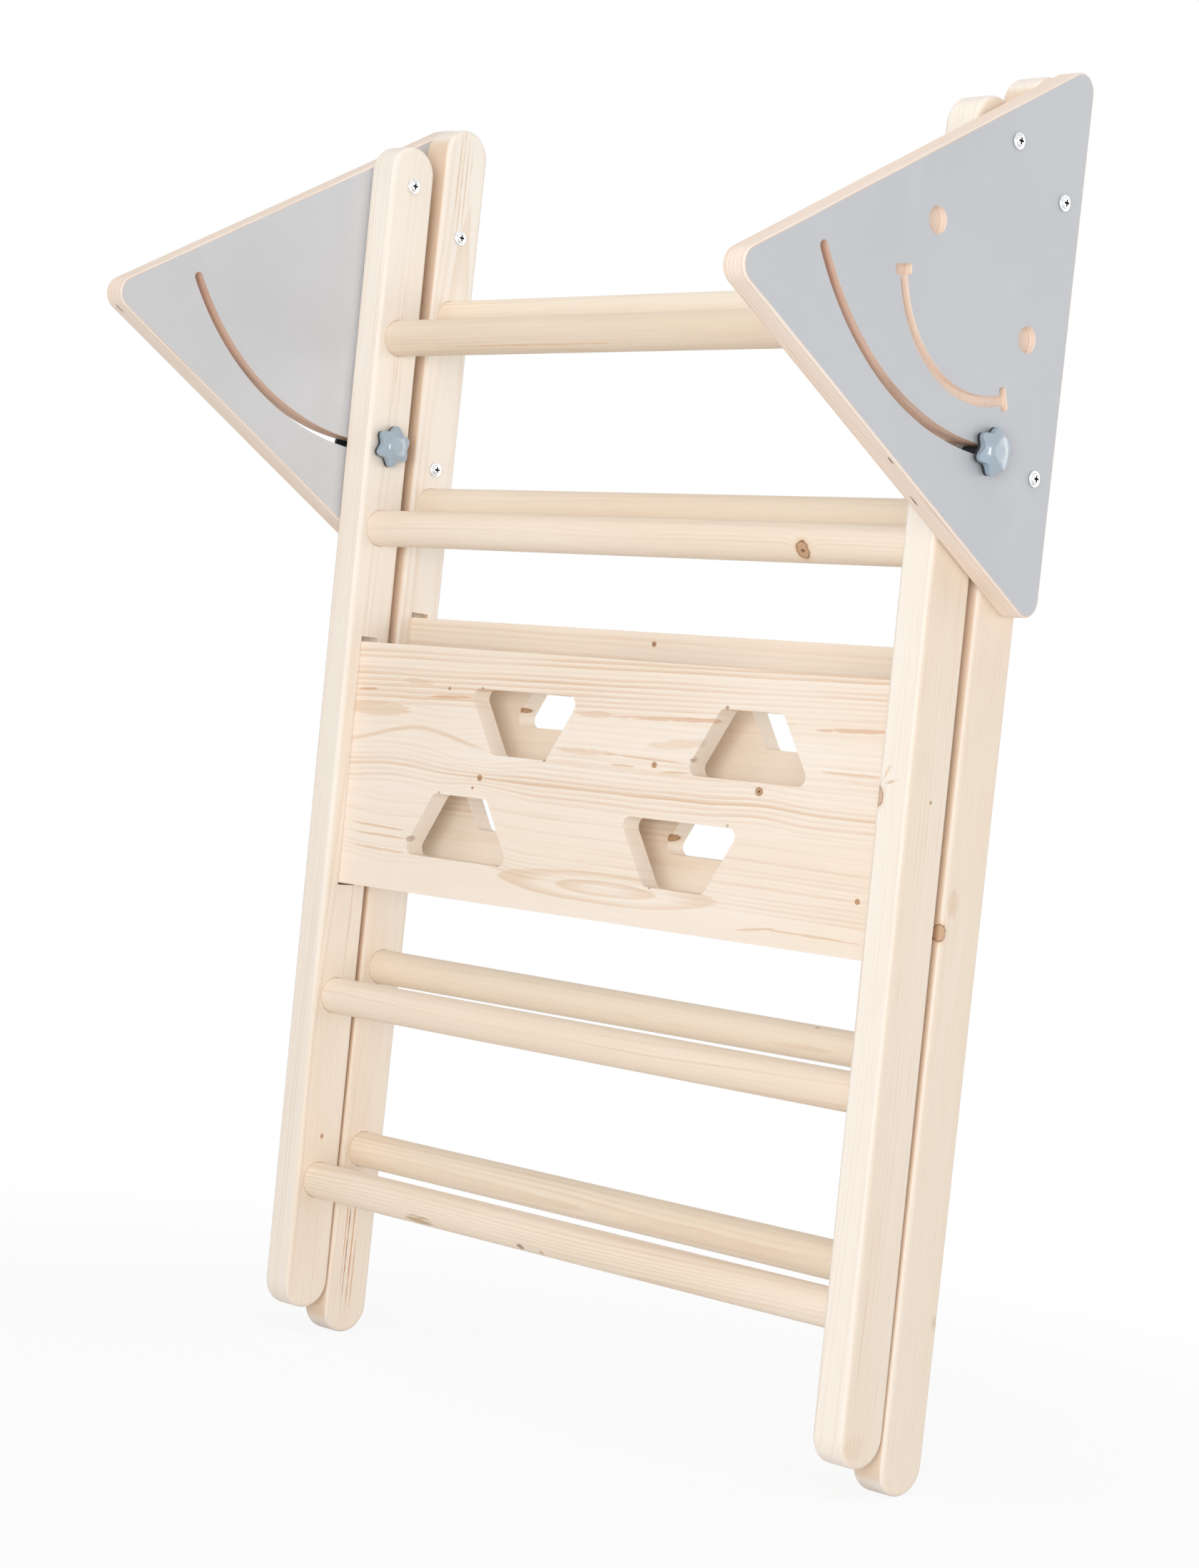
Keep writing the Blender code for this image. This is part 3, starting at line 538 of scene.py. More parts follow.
def softwood(
    name, grain, tints, heart, spacing, strength, seed, knots=(), stains=(), figure=None,
    warm_sides=(0.0, 0.0), gap_face=None,
):
    """Planed softwood: yearly rings about a heart line, fine fibres, broad tints, knots and stains.

    grain is the axis that the fibres follow. heart is where the heart line passes, measured across the
    grain, with its drift along it. A knot has a place, a reach, a strength and a tilt, and the rings bend
    round it. A stain has a place, a reach, a tint, an amount, a tilt and how soft its edge is. On a rail,
    warm_sides says how much warmer the side faces are near its foot and near its top, partly their own
    tone and partly painted warm bounce light, and gap_face picks the face toward the other ladder, which
    gets painted shade.
    """
    clear, warm, late = tints
    wood = Finish(name, clear, specular=0.30)
    if grain == "Z":
        side, depth, along = wood.x, wood.y, wood.z
    else:
        side, depth, along = wood.z, wood.y, wood.x
    shift = (seed, seed * 1.7, seed * 0.6)
    off_side = side - heart[0] - along * heart[2]
    off_depth = depth - heart[1] - along * heart[3]
    wander = wood.noise(swap_axes(grain, 7.0, 1.6), seed=shift)
    ripple = wood.noise(swap_axes(grain, 60.0, 8.0), seed=shift)
    ragged = wood.noise(swap_axes(grain, 420.0, 60.0), 3.0, (seed, 3.0, 1.0))
    reach = (off_side.squared() + off_depth.squared()).math("SQRT")
    reach = reach + (wander - 0.5) * 0.026 + (ripple - 0.5) * 0.0022
    reach = rings_bent_by(wood, reach, knots)
    rings = reach / spacing + wood.drift(reach * 30.0 + seed) * 2.4
    part = rings.math("FRACT")
    weight = wood.chance(rings.math("FLOOR") + seed * 7.0)
    ring_dark = part.between(0.30, 0.90) * part.between(1.0, 0.93)
    ring_dark = ring_dark * weight.between(0.15, 0.95, 0.12, 1.0)
    uneven = wood.noise(swap_axes(grain, 26.0, 3.4), seed=(seed + 5.0, seed, 2.0))
    fibres = wood.noise(swap_axes(grain, 950.0, 15.0), 3.0, shift)
    flecks = wood.noise(swap_axes(grain, 2400.0, 90.0), 1.0, (seed, 7.0, seed * 2.0))
    broad = wood.noise(swap_axes(grain, 13.0, 1.8), seed=(seed * 3.1, 1.0, seed))
    facing = wood.facing()

    wood.lay(warm, broad.between(0.40, 0.72) * 0.60)
    wood.lay(late, ring_dark * uneven.between(0.30, 0.72, 0.20, 1.0) * strength)
    if figure:
        figure(wood, ripple, uneven)
    wood.lay(late, fibres.between(0.52, 0.80) * 0.15)
    wood.lay(FIBRE_SHEEN, fibres.between(0.46, 0.24) * 0.18)
    wood.lay(late, flecks.between(0.66, 0.80) * 0.16)
    end_grain = facing["XYZ".index(grain)].math("ABSOLUTE").between(0.45, 0.98)
    wood.lay(END_GRAIN[grain], end_grain * 0.75)
    if gap_face:
        # Side faces: partly their own warmer tone, partly painted warm bounce light, set by rail side and
        # height
        sides = facing[0].math("ABSOLUTE").between(0.5, 0.95) * along.between(0.25, 0.85, *warm_sides)
        wood.lay(SIDE_WARMTH_AND_PAINTED_BOUNCE, sides * broad.between(0.35, 0.70, 0.40, 0.52))
        wood.lay(late, sides * fibres.between(0.50, 0.72) * 0.22)
        # Painted shade on the face toward the other ladder, in the gap between the rails
        wood.lay(GAP_SHADE, facing[1].between(*gap_face) * 0.55)
    for mark in stains:
        stain(wood, ragged, *mark)
    for mark in knots:
        knot(wood, ragged, *mark)
    roughness = fibres.between(0.3, 0.7, 0.46, 0.58) - ring_dark * 0.05
    height = fibres * 0.40 + ring_dark * 0.22 - flecks.between(0.66, 0.80) * 0.15
    return wood.done(roughness, height, 0.00012)


# Wood of the rails: heart line, knots and stains of each, by ladder and side

RAIL_TINTS = ((249, 240, 229), (245, 231, 215), (226, 196, 163))
RAIL_HEARTS = {
    ("front", -1): (-0.42, 0.06, 0.010, 0.0),
    ("front", 1): (0.30, 0.03, -0.012, 0.01),
    ("back", -1): (-0.33, 0.18, 0.010, 0.0),
    ("back", 1): (0.42, 0.23, 0.014, 0.0),
}
RAIL_KNOTS = {
    ("front", -1): [((-0.350, 0.118, 0.1974), (0.010, 0.0016, 0.0022), 0.9)],
    ("front", 1): [
        ((0.341, 0.0866, 0.587), (0.0075, 0.006, 0.0090), 0.62),
        ((0.3755, 0.1163, 0.5863), (0.010, 0.0012, 0.0014), 1.0),
    ],
    ("back", -1): [],
    ("back", 1): [((0.376, 0.1475, 0.4787), (0.012, 0.0052, 0.0076), 0.75)],
}
RAIL_STAINS = {
    ("front", -1): [
        ((-0.3455, 0.110, 0.980), (0.02, 0.0012, 0.075), BROWN, 0.45),
        ((-0.3455, 0.124, 0.420), (0.02, 0.0010, 0.060), BROWN, 0.35),
    ],
    ("front", 1): [
        ((0.356, 0.0860, 0.600), (0.009, 0.004, 0.0016), BROWN, 0.7, 0.25),
        ((0.350, 0.0860, 0.607), (0.002, 0.004, 0.0100), (232, 204, 172), 0.7, -0.5),
        ((0.3755, 0.108, 0.047), (0.01, 0.020, 0.014), (228, 200, 168), 0.22),
        ((0.3755, 0.104, 0.160), (0.01, 0.0010, 0.090), BROWN, 0.4),
    ],
    ("back", -1): [
        ((-0.3464, 0.1665, 0.080), (0.02, 0.0012, 0.075), (176, 124, 86), 0.85),
        ((-0.3464, 0.1725, 0.085), (0.02, 0.0013, 0.085), REDDISH, 0.9),
        ((-0.3464, 0.1630, 0.110), (0.02, 0.0011, 0.080), REDDISH, 0.8),
        ((-0.3464, 0.1775, 0.060), (0.02, 0.0012, 0.050), REDDISH, 0.7),
        ((-0.3464, 0.1640, 1.155), (0.02, 0.0009, 0.060), BROWN, 0.7),
        ((-0.3464, 0.1690, 1.150), (0.02, 0.0009, 0.075), BROWN, 0.7),
        ((-0.3464, 0.1745, 1.150), (0.02, 0.0009, 0.055), BROWN, 0.7),
        ((-0.3464, 0.1800, 1.155), (0.02, 0.0007, 0.040), BROWN, 0.5),
    ],
    ("back", 1): [
        ((0.3764, 0.1595, 0.504), (0.01, 0.0090, 0.0150), (224, 196, 164), 0.60),
        ((0.3764, 0.1952, 0.1486), (0.01, 0.0040, 0.0080), (206, 176, 146), 0.50),
    ],
}


def rail_wood(ladder, side):
    key = (ladder.word, side)
    seed = 1.3 * side + 4.0 if ladder is FRONT else 2.1 * side + 9.0
    # Side warmth near the foot and the top: partly the wood's own tone, partly painted bounce light, less on
    # the left rails
    warm = (0.9, 1.0) if side > 0 else (0.6, 0.0)
    # The face toward the other ladder, which gets painted shade
    gap_face = (0.80, 0.97) if ladder is FRONT else (-0.80, -0.97)
    return softwood(
        f"{ladder.word}_rail_{side_word(side)}_pine", "Z", RAIL_TINTS, RAIL_HEARTS[key], spacing=0.0036,
        strength=0.42, seed=seed, knots=RAIL_KNOTS[key], stains=RAIL_STAINS[key], warm_sides=warm,
        gap_face=gap_face,
    )


# Wood of the rungs, by ladder and number from the top

RUNG_TINTS = ((246, 231, 213), (241, 220, 196), (215, 180, 142))
PALE_RUNG_TINTS = ((248, 234, 215), (243, 223, 198), (216, 182, 143))
DULL_RUNG_TINTS = ((236, 219, 198), (230, 206, 178), (204, 166, 126))
RUNG_KNOTS = {("front", 2): [((0.2219, 0.096, 0.7902), (0.0072, 0.012, 0.0078), 0.9, 0.3)]}
RUNG_STAINS = {
    ("front", 1): [((-0.15, 0.094, 0.972), (0.16, 0.02, 0.0012), (222, 176, 130), 0.5)],
    ("front", 4): [
        ((-0.1823, 0.104, 0.1420), (0.024, 0.008, 0.0070), (186, 152, 116), 0.75),
        ((-0.0421, 0.104, 0.1415), (0.006, 0.008, 0.0035), (150, 116, 86), 0.8),
        ((-0.0143, 0.104, 0.1405), (0.004, 0.008, 0.0030), (170, 134, 102), 0.6),
    ],
    ("back", 3): [((0.2345, 0.160, 0.3826), (0.005, 0.012, 0.0028), (156, 116, 82), 0.7)],
}


def rung_wood(ladder, number, height):
    word = ladder.word
    key = (word, number)
    tints = PALE_RUNG_TINTS if ladder is BACK else (DULL_RUNG_TINTS if number == 1 else RUNG_TINTS)
    heart = (height - 0.024, 0.10, 0.006, 0.004)
    return softwood(
        f"{word}_rung_{number}_pine", "X", tints, heart, spacing=0.0046, strength=0.40,
        seed=number * 1.9 + len(word), knots=RUNG_KNOTS.get(key, ()), stains=RUNG_STAINS.get(key, ()),
    )


# Wood of the boards: marks lie on the face that shows, and reach this deep

BOARD_TINTS = ((249, 236, 222), (245, 227, 206), (224, 188, 152))
# The back board is painted paler than the front one, as painted light on its strip above the front board and
# behind the holes
REAR_BOARD_TINTS_PAINTED_LIGHTER = ((252, 240, 225), (248, 231, 209), (228, 194, 158))
FRONT_FACE_Y = 0.1030
REAR_FACE_Y = 0.164
MARK_DEPTH = 0.012


def lines(wood, ripple, uneven, start, spacing, count, seed, rise=None, squeeze=None):
    """A band of near-level grain lines on a board; start and spacing each give a value and a drift along x.

    rise lifts the band where it arches, and squeeze is how much closer the lines get beside a knot.
    """
    top = wood.x * start[1] + start[0]
    apart = wood.x * spacing[1] + spacing[0]
    if rise:
        top = top + rise
        apart = apart * squeeze
    rows = (top - wood.z + (ripple - 0.5) * 0.0030) / apart
    part, weight = rows.math("FRACT"), wood.chance(rows.math("FLOOR") + seed)
    line = (part + weight * 0.22 + (uneven - 0.5) * 0.25).between(0.25, 1.0) * part.between(1.0, 0.88)
    inside = rows.between(-1.0, -0.8) * rows.between(count + 0.05, count - 0.1)
    return line * weight.between(0.0, 1.0, 0.30, 1.0) * inside * uneven.between(0.25, 0.65, 0.35, 1.0)


def bell(wood, middle, half):
    """A soft hump along x, 1 in its middle."""
    return (wood.x - middle).math("ABSOLUTE").between(half, 0.0)


def front_figure(wood, ripple, uneven):
    """The front board: bands of lines that bend round its knots, faint ones below, and a pointed arch."""
    upper = lines(wood, ripple, uneven, (0.6802, 0.0118), (0.00504, -0.0014), 9, 3.0)
    wood.lay(BROWN, upper * 0.72)
    pinch, hump = bell(wood, -0.160, 0.080), bell(wood, -0.285, 0.090)
    far_dip = bell(wood, 0.195, 0.070)
    rise = hump * 0.0050 - pinch * 0.0065 + far_dip * 0.0030
    middle = lines(wood, ripple, uneven, (0.5845, 0.0), (0.0052, 0.0), 7, 40.0, rise, pinch * -0.38 + 1.0)
    wood.lay(BROWN, middle * 0.72)
    rise, squeeze = hump * -0.004, pinch * -0.1 + 1.0
    faint = lines(wood, ripple, uneven, (0.5470, -0.010), (0.0044, 0.0), 16, 60.0, rise, squeeze)
    patchy = wood.noise((7.0, 7.0, 22.0), seed=(3.0, 8.0, 1.0))
    wood.lay(BROWN, faint * patchy.between(0.35, 0.65, 0.15, 0.48))
    rise, squeeze = hump * 0.004, pinch * -0.2 + 1.0
    between = lines(wood, ripple, uneven, (0.6360, 0.004), (0.0062, 0.0), 8, 80.0, rise, squeeze)
    wood.lay(BROWN, between * patchy.between(0.60, 0.35, 0.10, 0.35))
    arch = wood.oval((0.0135, 0.10, 0.4782), (0.143, 10.0, 0.0148), 0.0105) + (ripple - 0.5) * 0.22
    arch = arch + (uneven - 0.5) * 0.30
    loops = arch * 2.0
    part = loops.math("FRACT")
    line = part.between(0.10, 0.97) * part.between(1.0, 0.88) * loops.between(2.05, 1.96)
    wood.lay(BROWN, line * uneven.between(0.30, 0.65, 0.12, 0.50))
    ridge = wood.z - bell(wood, -0.255, 0.115) * 0.0165 - wood.x * 0.010 - 0.5928 + (ripple - 0.5) * 0.003
    ridge = ridge.math("ABSOLUTE").between(0.0030, 0.0006) * wood.x.between(-0.150, -0.180)
    wood.lay(BROWN, ridge * uneven.between(0.25, 0.60, 0.30, 0.75))
    clear_band = wood.z.between(0.600, 0.606) * wood.z.between(0.634, 0.626)
    wood.lay(CREAM, clear_band * uneven.between(0.4, 0.6) * 0.22)


def back_figure(wood, ripple, uneven):
    """The back board: a few lines near its top and in its lower half."""
    upper = lines(wood, ripple, uneven, (0.706, -0.006), (0.0062, 0.001), 7, 11.0)
    wood.lay(BROWN, upper * 0.28)
    lower = lines(wood, ripple, uneven, (0.578, 0.009), (0.0060, 0.0012), 9, 25.0)
    wood.lay(BROWN, lower * 0.50)


def streak(x, z, long, thick, tint=BROWN, amount=0.6, tilt=0.0, soft=0.30):
    """A mark on the front board's face, as the oval that it fills."""
    return (x, FRONT_FACE_Y, z), (long, MARK_DEPTH, thick), tint, amount, tilt, soft


def front_board_marks():
    marks = [
        streak(0.115, 0.6372, 0.128, 0.0024, REDDISH, 0.55, 0.0316),
        streak(0.298, 0.6395, 0.050, 0.0024, REDDISH, 0.55, 0.043),
        streak(-0.3315, 0.6403, 0.017, 0.0016, REDDISH, 0.7, 0.0586),
        streak(-0.210, 0.6390, 0.036, 0.0016, REDDISH, 0.7, 0.039),
        streak(-0.318, 0.6225, 0.056, 0.0078, BROWN, 0.40, 0.0, 0.18),
        streak(-0.260, 0.6508, 0.026, 0.0036, BROWN, 0.36, -0.039),
        streak(-0.016, 0.6347, 0.030, 0.0036, REDDISH, 0.34),
        streak(-0.024, 0.6000, 0.046, 0.0034, BROWN, 0.36),
        streak(0.093, 0.6145, 0.044, 0.0052, BROWN, 0.30, 0.10),
        streak(0.058, 0.5990, 0.060, 0.0013, BROWN, 0.6, -0.020),
        streak(0.024, 0.5911, 0.022, 0.0013, BROWN, 0.6),
        streak(0.093, 0.5894, 0.022, 0.0014, BROWN, 0.6, 0.060),
        streak(0.300, 0.6028, 0.046, 0.0013, BROWN, 0.5),
        streak(-0.297, 0.5083, 0.044, 0.0014, BROWN, 0.55, -0.031),
        streak(-0.296, 0.5001, 0.044, 0.0014, BROWN, 0.55, -0.010),
        streak(-0.293, 0.4869, 0.044, 0.0015, BROWN, 0.55, -0.026),
        streak(0.205, 0.4617, 0.026, 0.0014, BROWN, 0.5, 0.130),
        streak(0.272, 0.4627, 0.064, 0.0014, BROWN, 0.5, -0.010),
        streak(-0.2486, 0.4998, 0.009, 0.0045, DARK_BROWN, 0.5),
        streak(0.1157, 0.6018, 0.008, 0.0045, DARK_BROWN, 0.5),
    ]
    nicks = [
        (-0.1687, 0.6490), (-0.1477, 0.5926), (-0.0763, 0.5882), (-0.2162, 0.5471), (-0.1259, 0.4863),
        (0.0408, 0.5424), (0.1616, 0.5483), (0.0743, 0.4852), (0.1475, 0.6507), (-0.2151, 0.6469),
    ]
    marks += [streak(x, z, 0.0024, 0.0020, DARK_BROWN, 0.7) for x, z in nicks]
    return marks


def board_knot(x, z, size, y=FRONT_FACE_Y):
    return (x, y, z), (size * 1.15, MARK_DEPTH, size), 1.0


def board_wood(ladder):
    if ladder is FRONT:
        tints, marks, figure = BOARD_TINTS, front_board_marks(), front_figure
        knots = [(-0.1613, 0.5656, 0.0026), (-0.1699, 0.5555, 0.0012), (0.0655, 0.5942, 0.0024)]
        knots += [(0.1947, 0.5805, 0.0034), (0.3186, 0.4972, 0.0022)]
        knots = [board_knot(*place) for place in knots]
    else:
        # Paler tints for the back board, as painted light
        tints, marks, figure = REAR_BOARD_TINTS_PAINTED_LIGHTER, (), back_figure
        knots = [(-0.0113, 0.7053, 0.0022), (0.0375, 0.5298, 0.0036), (-0.1768, 0.6340, 0.0024)]
        knots = [board_knot(*place, REAR_FACE_Y) for place in knots]
    middle = ladder.top - BOARD_DROP - BOARD_HEIGHT / 2
    heart = (middle - 0.090, 0.16, 0.0, 0.0)
    return softwood(
        f"{ladder.word}_board_pine", "X", tints, heart, spacing=0.0062, strength=0.22,
        seed=3.0 + len(ladder.word), knots=knots, stains=marks, figure=figure,
    )


# Wood and facing of the side plates, by side

# Grey of each plate's facing; the left one is painted lighter, as painted light for the brighter light on it
PLATE_GREYS_LEFT_PAINTED_LIGHTER = {-1: (212, 213, 216), 1: (196, 198, 202)}
PLY_GAPS = {
    -1: [((-0.3990, -0.190, 0.962), (0.0012, 0.0080, 0.0020))],
    1: [
        ((0.3954, -0.004, 0.854), (0.0012, 0.0060, 0.0020)),
        ((0.3852, 0.042, 0.8275), (0.0012, 0.0090, 0.0020)),
    ],
}


def plate_film(side):
    """Smooth grey facing with a faint cloudiness and the fine skin of pressed film."""
    # The left plate's grey is painted lighter, as painted light
    word, tone = side_word(side), PLATE_GREYS_LEFT_PAINTED_LIGHTER[side]
    film = Finish(f"grey_facing_{word}", tone, specular=0.40)
    cloud = film.noise((4.0, 4.0, 4.0), seed=(2.0, 4.0, 1.0))
    blotch = film.noise((22.0, 22.0, 22.0), seed=(7.0, 1.0, 3.0))
    skin = film.noise((1500.0, 1500.0, 1500.0))
    film.lay(tuple(part - 6 for part in tone), cloud.between(0.35, 0.7) * 0.6)
    film.lay(tuple(part + 4 for part in tone), blotch.between(0.5, 0.75) * 0.4)
    film.lay((184, 186, 191), skin.between(0.62, 0.85) * 0.25)
    return film.done(skin.between(0.3, 0.7, 0.36, 0.44), skin, 0.00003)


def ply_edge(side):
    """Bare plywood: thin veneers across the thickness, faint glue lines, and a few dark gaps in the plies."""
    middle = side * (PLATE_INNER + PLATE_THICKNESS / 2) - ORIGIN.x
    ply = Finish(f"plate_edge_{side_word(side)}", (245, 231, 219), specular=0.28)
    across = (ply.x - middle) / PLATE_THICKNESS + 0.5
    waver = ply.noise((40.0, 7.0, 7.0))
    ragged = ply.noise((300.0, 300.0, 300.0))
    veneer = (across + (waver - 0.5) * 0.030) * 11.0
    turn = veneer.math("MODULO", 2.0)
    step = veneer.math("FRACT")
    share = ply.chance(veneer.math("FLOOR") + 5.0)
    glue = (step - 0.5).math("ABSOLUTE").between(0.38, 0.49)
    cross_ply = turn.between(0.96, 1.04)
    fibre = ply.noise((1300.0, 24.0, 24.0), 3.0)
    speck = ply.noise((500.0, 90.0, 90.0), seed=(4.0, 0.0, 0.0))
    patch = ply.noise((90.0, 9.0, 9.0), seed=(9.0, 2.0, 1.0))
    ply.lay((241, 215, 192), cross_ply * share.between(0.0, 1.0, 0.30, 0.75))
    ply.lay((230, 198, 172), fibre.between(0.50, 0.80) * 0.35)
    ply.lay((216, 174, 144), patch.between(0.58, 0.78) * cross_ply * 0.55)
    ply.lay((200, 156, 126), glue * patch.between(0.30, 0.62, 0.15, 0.45))
    ply.lay((124, 84, 58), speck.between(0.76, 0.82) * cross_ply * 0.8)
    for place, reach in PLY_GAPS[side]:
        near = ply.spot(place, reach, turn_x=-PLATE_TILT) * ragged.between(0.25, 0.75, 0.6, 1.4)
        ply.lay((92, 60, 42), near.between(0.10, 0.40) * 0.85)
    height = fibre * 0.5 - glue * 0.4
    return ply.done(0.56, height, 0.00012)


def routed_wood():
    """Floor of the routed pockets: one veneer laid bare, with faint tool marks."""
    wood = Finish("routed_ply", (239, 219, 205), specular=0.28)
    fibre = wood.noise((300.0, 420.0, 26.0), 3.0)
    cloud = wood.noise((30.0, 60.0, 18.0), seed=(3.0, 3.0, 3.0))
    wood.lay((224, 194, 174), fibre.between(0.48, 0.75) * 0.45)
    wood.lay((243, 222, 204), cloud.between(0.5, 0.75) * 0.5)
    return wood.done(0.62, fibre, 0.0002)


def slot_wood():
    """Walls of the curved lock slot: plies with darker patches, and darker toward the upper end."""
    wood = Finish("slot_wall", (246, 228, 214), specular=0.25)
    fibre = wood.noise((900.0, 40.0, 40.0), 3.0)
    patch = wood.noise((120.0, 14.0, 14.0), seed=(2.0, 9.0, 4.0))
    wood.lay((228, 196, 176), wood.z.between(0.900, 1.000, 0.30, 0.95))
    wood.lay((186, 146, 124), patch.between(0.45, 0.75) * 0.40)
    wood.lay((252, 238, 226), fibre.between(0.55, 0.80) * 0.35)
    return wood.done(0.62, fibre, 0.00015)


# Metal and plastic

def bright_zinc():
    """Plated steel: bright, with a faint tarnish."""
    metal = Finish("bright_zinc", (232, 233, 235), metallic=1.0)
    grain = metal.noise((700.0, 700.0, 700.0), 3.0)
    tarnish = metal.noise((160.0, 160.0, 160.0), seed=(5.0, 5.0, 5.0))
    metal.lay((204, 206, 210), tarnish.between(0.45, 0.75) * 0.5)
    return metal.done(grain.between(0.3, 0.7, 0.18, 0.30), grain, 0.00004)


def painted_recess_shade():
    """The bottom of the screwdriver cross, painted dark as the shade in it."""
    metal = Finish("bolt_recess_painted_shade", (46, 46, 48), metallic=0.6)
    shade_mottle = metal.noise((900.0, 900.0, 900.0), 3.0)
    metal.lay((78, 78, 80), shade_mottle.between(0.45, 0.75) * 0.6)
    return metal.done(0.55, shade_mottle, 0.00005)


def knob_plastic():
    """Glossy grey-blue plastic, with painted shade that makes the walls of the star a little darker."""
    plastic = Finish("knob_grey_blue", (162, 178, 191))
    skin = plastic.noise((900.0, 900.0, 900.0))
    cloud = plastic.noise((45.0, 45.0, 45.0), seed=(1.0, 6.0, 2.0))
    plastic.lay((154, 170, 184), cloud.between(0.4, 0.7) * 0.5)
    # Painted shade: the walls of the star, facing sideways, are darker
    painted_wall_shade = plastic.facing()[0].math("ABSOLUTE").between(0.75, 0.35)
    plastic.lay((146, 163, 177), painted_wall_shade * 0.75)
    feed(plastic.shader, {"Coat Weight": 0.6, "Coat Roughness": 0.05})
    return plastic.done(skin.between(0.3, 0.7, 0.16, 0.24), skin, 0.00002)


def black_plastic():
    """Plain black plastic with a fine skin."""
    plastic = Finish("black_plastic", (44, 50, 54), specular=0.45)
    skin = plastic.noise((1800.0, 1800.0, 1800.0))
    cloud = plastic.noise((70.0, 70.0, 70.0), seed=(2.0, 6.0, 2.0))
    plastic.lay((62, 69, 74), cloud.between(0.45, 0.75) * 0.6)
    return plastic.done(skin.between(0.3, 0.7, 0.36, 0.50), skin, 0.00008)


def nylon():
    """Plain pale nylon."""
    plastic = Finish("washer_nylon", (226, 226, 220), specular=0.4)
    skin = plastic.noise((1200.0, 1200.0, 1200.0))
    plastic.lay((208, 208, 202), skin.between(0.5, 0.8) * 0.5)
    return plastic.done(0.48, skin, 0.00004)


# Rails

def drops(ladder):
    """How far each rung lies below the top of the rails."""
    foot = BOARD_DROP + BOARD_HEIGHT
    upper = [BOARD_DROP * share for share in UPPER_RUNG_SHARES]
    return upper + [foot + (ladder.length - foot) * share for share in LOWER_RUNG_SHARES[ladder.word]]


def rung_ends(ladder, number):
    """The diameters of a rung at its left and right ends."""
    return SLIM_RUNG if ladder is BACK and number == 3 else (RUNG_DIAMETER, RUNG_DIAMETER)


def rail(ladder, side, wood):
    """A rail with soft long edges and round ends, its rung seats, board groove and bolt holes cut in."""
    y, top, inner = ladder.y, ladder.top, ladder.inner
    faces = sorted((side * inner, side * ladder.outer))
    round_ends = [(y, top - RAIL_DEPTH / 2), (y, top - ladder.length + RAIL_DEPTH / 2)]
    bm = slab(round_ends, RAIL_DEPTH / 2, *faces)
    round_rim(bm, RAIL_ROUNDING, 6)

    def span(depth):
        return sorted((side * (inner + depth), side * (inner - OVERRUN)))

    hollows = bmesh.new()
    low, high = span(RUNG_SEAT)
    for number, drop in enumerate(drops(ladder), start=1):
        seat = rung_ends(ladder, number)[1 if side > 0 else 0] + 2 * FIT
        bar(hollows, (low, y, top - drop), (high, y, top - drop), seat)
    low, high = span(BOARD_GROOVE)
    half = BOARD_THICKNESS / 2 + FIT
    foot = top - BOARD_DROP - BOARD_HEIGHT - GROOVE_UNDER
    block(hollows, (low, y - half, foot), (high, y + half, top - BOARD_DROP + GROOVE_OVER))
    low, high = faces[0] - OVERRUN, faces[1] + OVERRUN
    for drop, diameter in ladder.holes:
        bar(hollows, (low, y, top - drop), (high, y, top - drop), diameter + 2 * FIT, steps=HOLE_STEPS)
    carve(bm, [hollows])
    node = f"{ladder.word}_rail_{side_word(side)}"
    return finished(node, bm, ladder.body, [wood], ladder.place)


# Rungs and boards

def rung(ladder, number, height, wood):
    reach = ladder.inner + RUNG_SEAT - FIT
    ends = (-reach, ladder.y, height), (reach, ladder.y, height)
    bm = bmesh.new()
    bar(bm, *ends, *rung_ends(ladder, number), steps=RUNG_STEPS)
    round_rim(bm, RUNG_EASING, 3)
    return finished(f"{ladder.word}_rung_{number}", bm, ladder.body, [wood], ladder.place)


def hand_hole(x, low, wide_at_top, near, far):
    """Cutter for a trapezoid hole with round corners."""
    top_half, foot_half = (HOLE_LONG, HOLE_SHORT) if wide_at_top else (HOLE_SHORT, HOLE_LONG)
    run = (top_half - foot_half) / 2
    lean = (run * run + HOLE_HEIGHT * HOLE_HEIGHT) ** 0.5
    centres = []
    for level, half, slope in ((low, foot_half / 2, -run), (low + HOLE_HEIGHT, top_half / 2, run)):
        inset = HOLE_ROUNDING * (lean - slope) / HOLE_HEIGHT
        height = low + HOLE_ROUNDING if level == low else level - HOLE_ROUNDING
        centres += [(x - half + inset, height), (x + half - inset, height)]
    return slab(centres, HOLE_ROUNDING, near, far, BOLT_STEPS, "Y")


def board(ladder, wood):
    """A board with four hand-holes, every edge and hole rim eased. The back one stands upside down."""
    y, half = ladder.y, BOARD_THICKNESS / 2
    reach = ladder.inner + BOARD_GROOVE - FIT
    foot = ladder.top - BOARD_DROP - BOARD_HEIGHT
    bm = bmesh.new()
    block(bm, (-reach, y - half, foot), (reach, y + half, foot + BOARD_HEIGHT))
    lower = foot + HOLE_MARGIN
    upper = foot + BOARD_HEIGHT - HOLE_MARGIN - HOLE_HEIGHT
    places = [(-HOLE_NEAR, upper, True), (HOLE_FAR, upper, False)]
    places += [(-HOLE_FAR, lower, False), (HOLE_NEAR, lower, True)]
    upside_down = ladder is BACK
    near, far = y - 2 * OVERRUN, y + 2 * OVERRUN
    carve(bm, [hand_hole(x, low, wide != upside_down, near, far) for x, low, wide in places])
    round_rim(bm, BOARD_EASING, 3)
    return finished(f"{ladder.word}_board", bm, ladder.body, [wood], ladder.place)


# Side plates

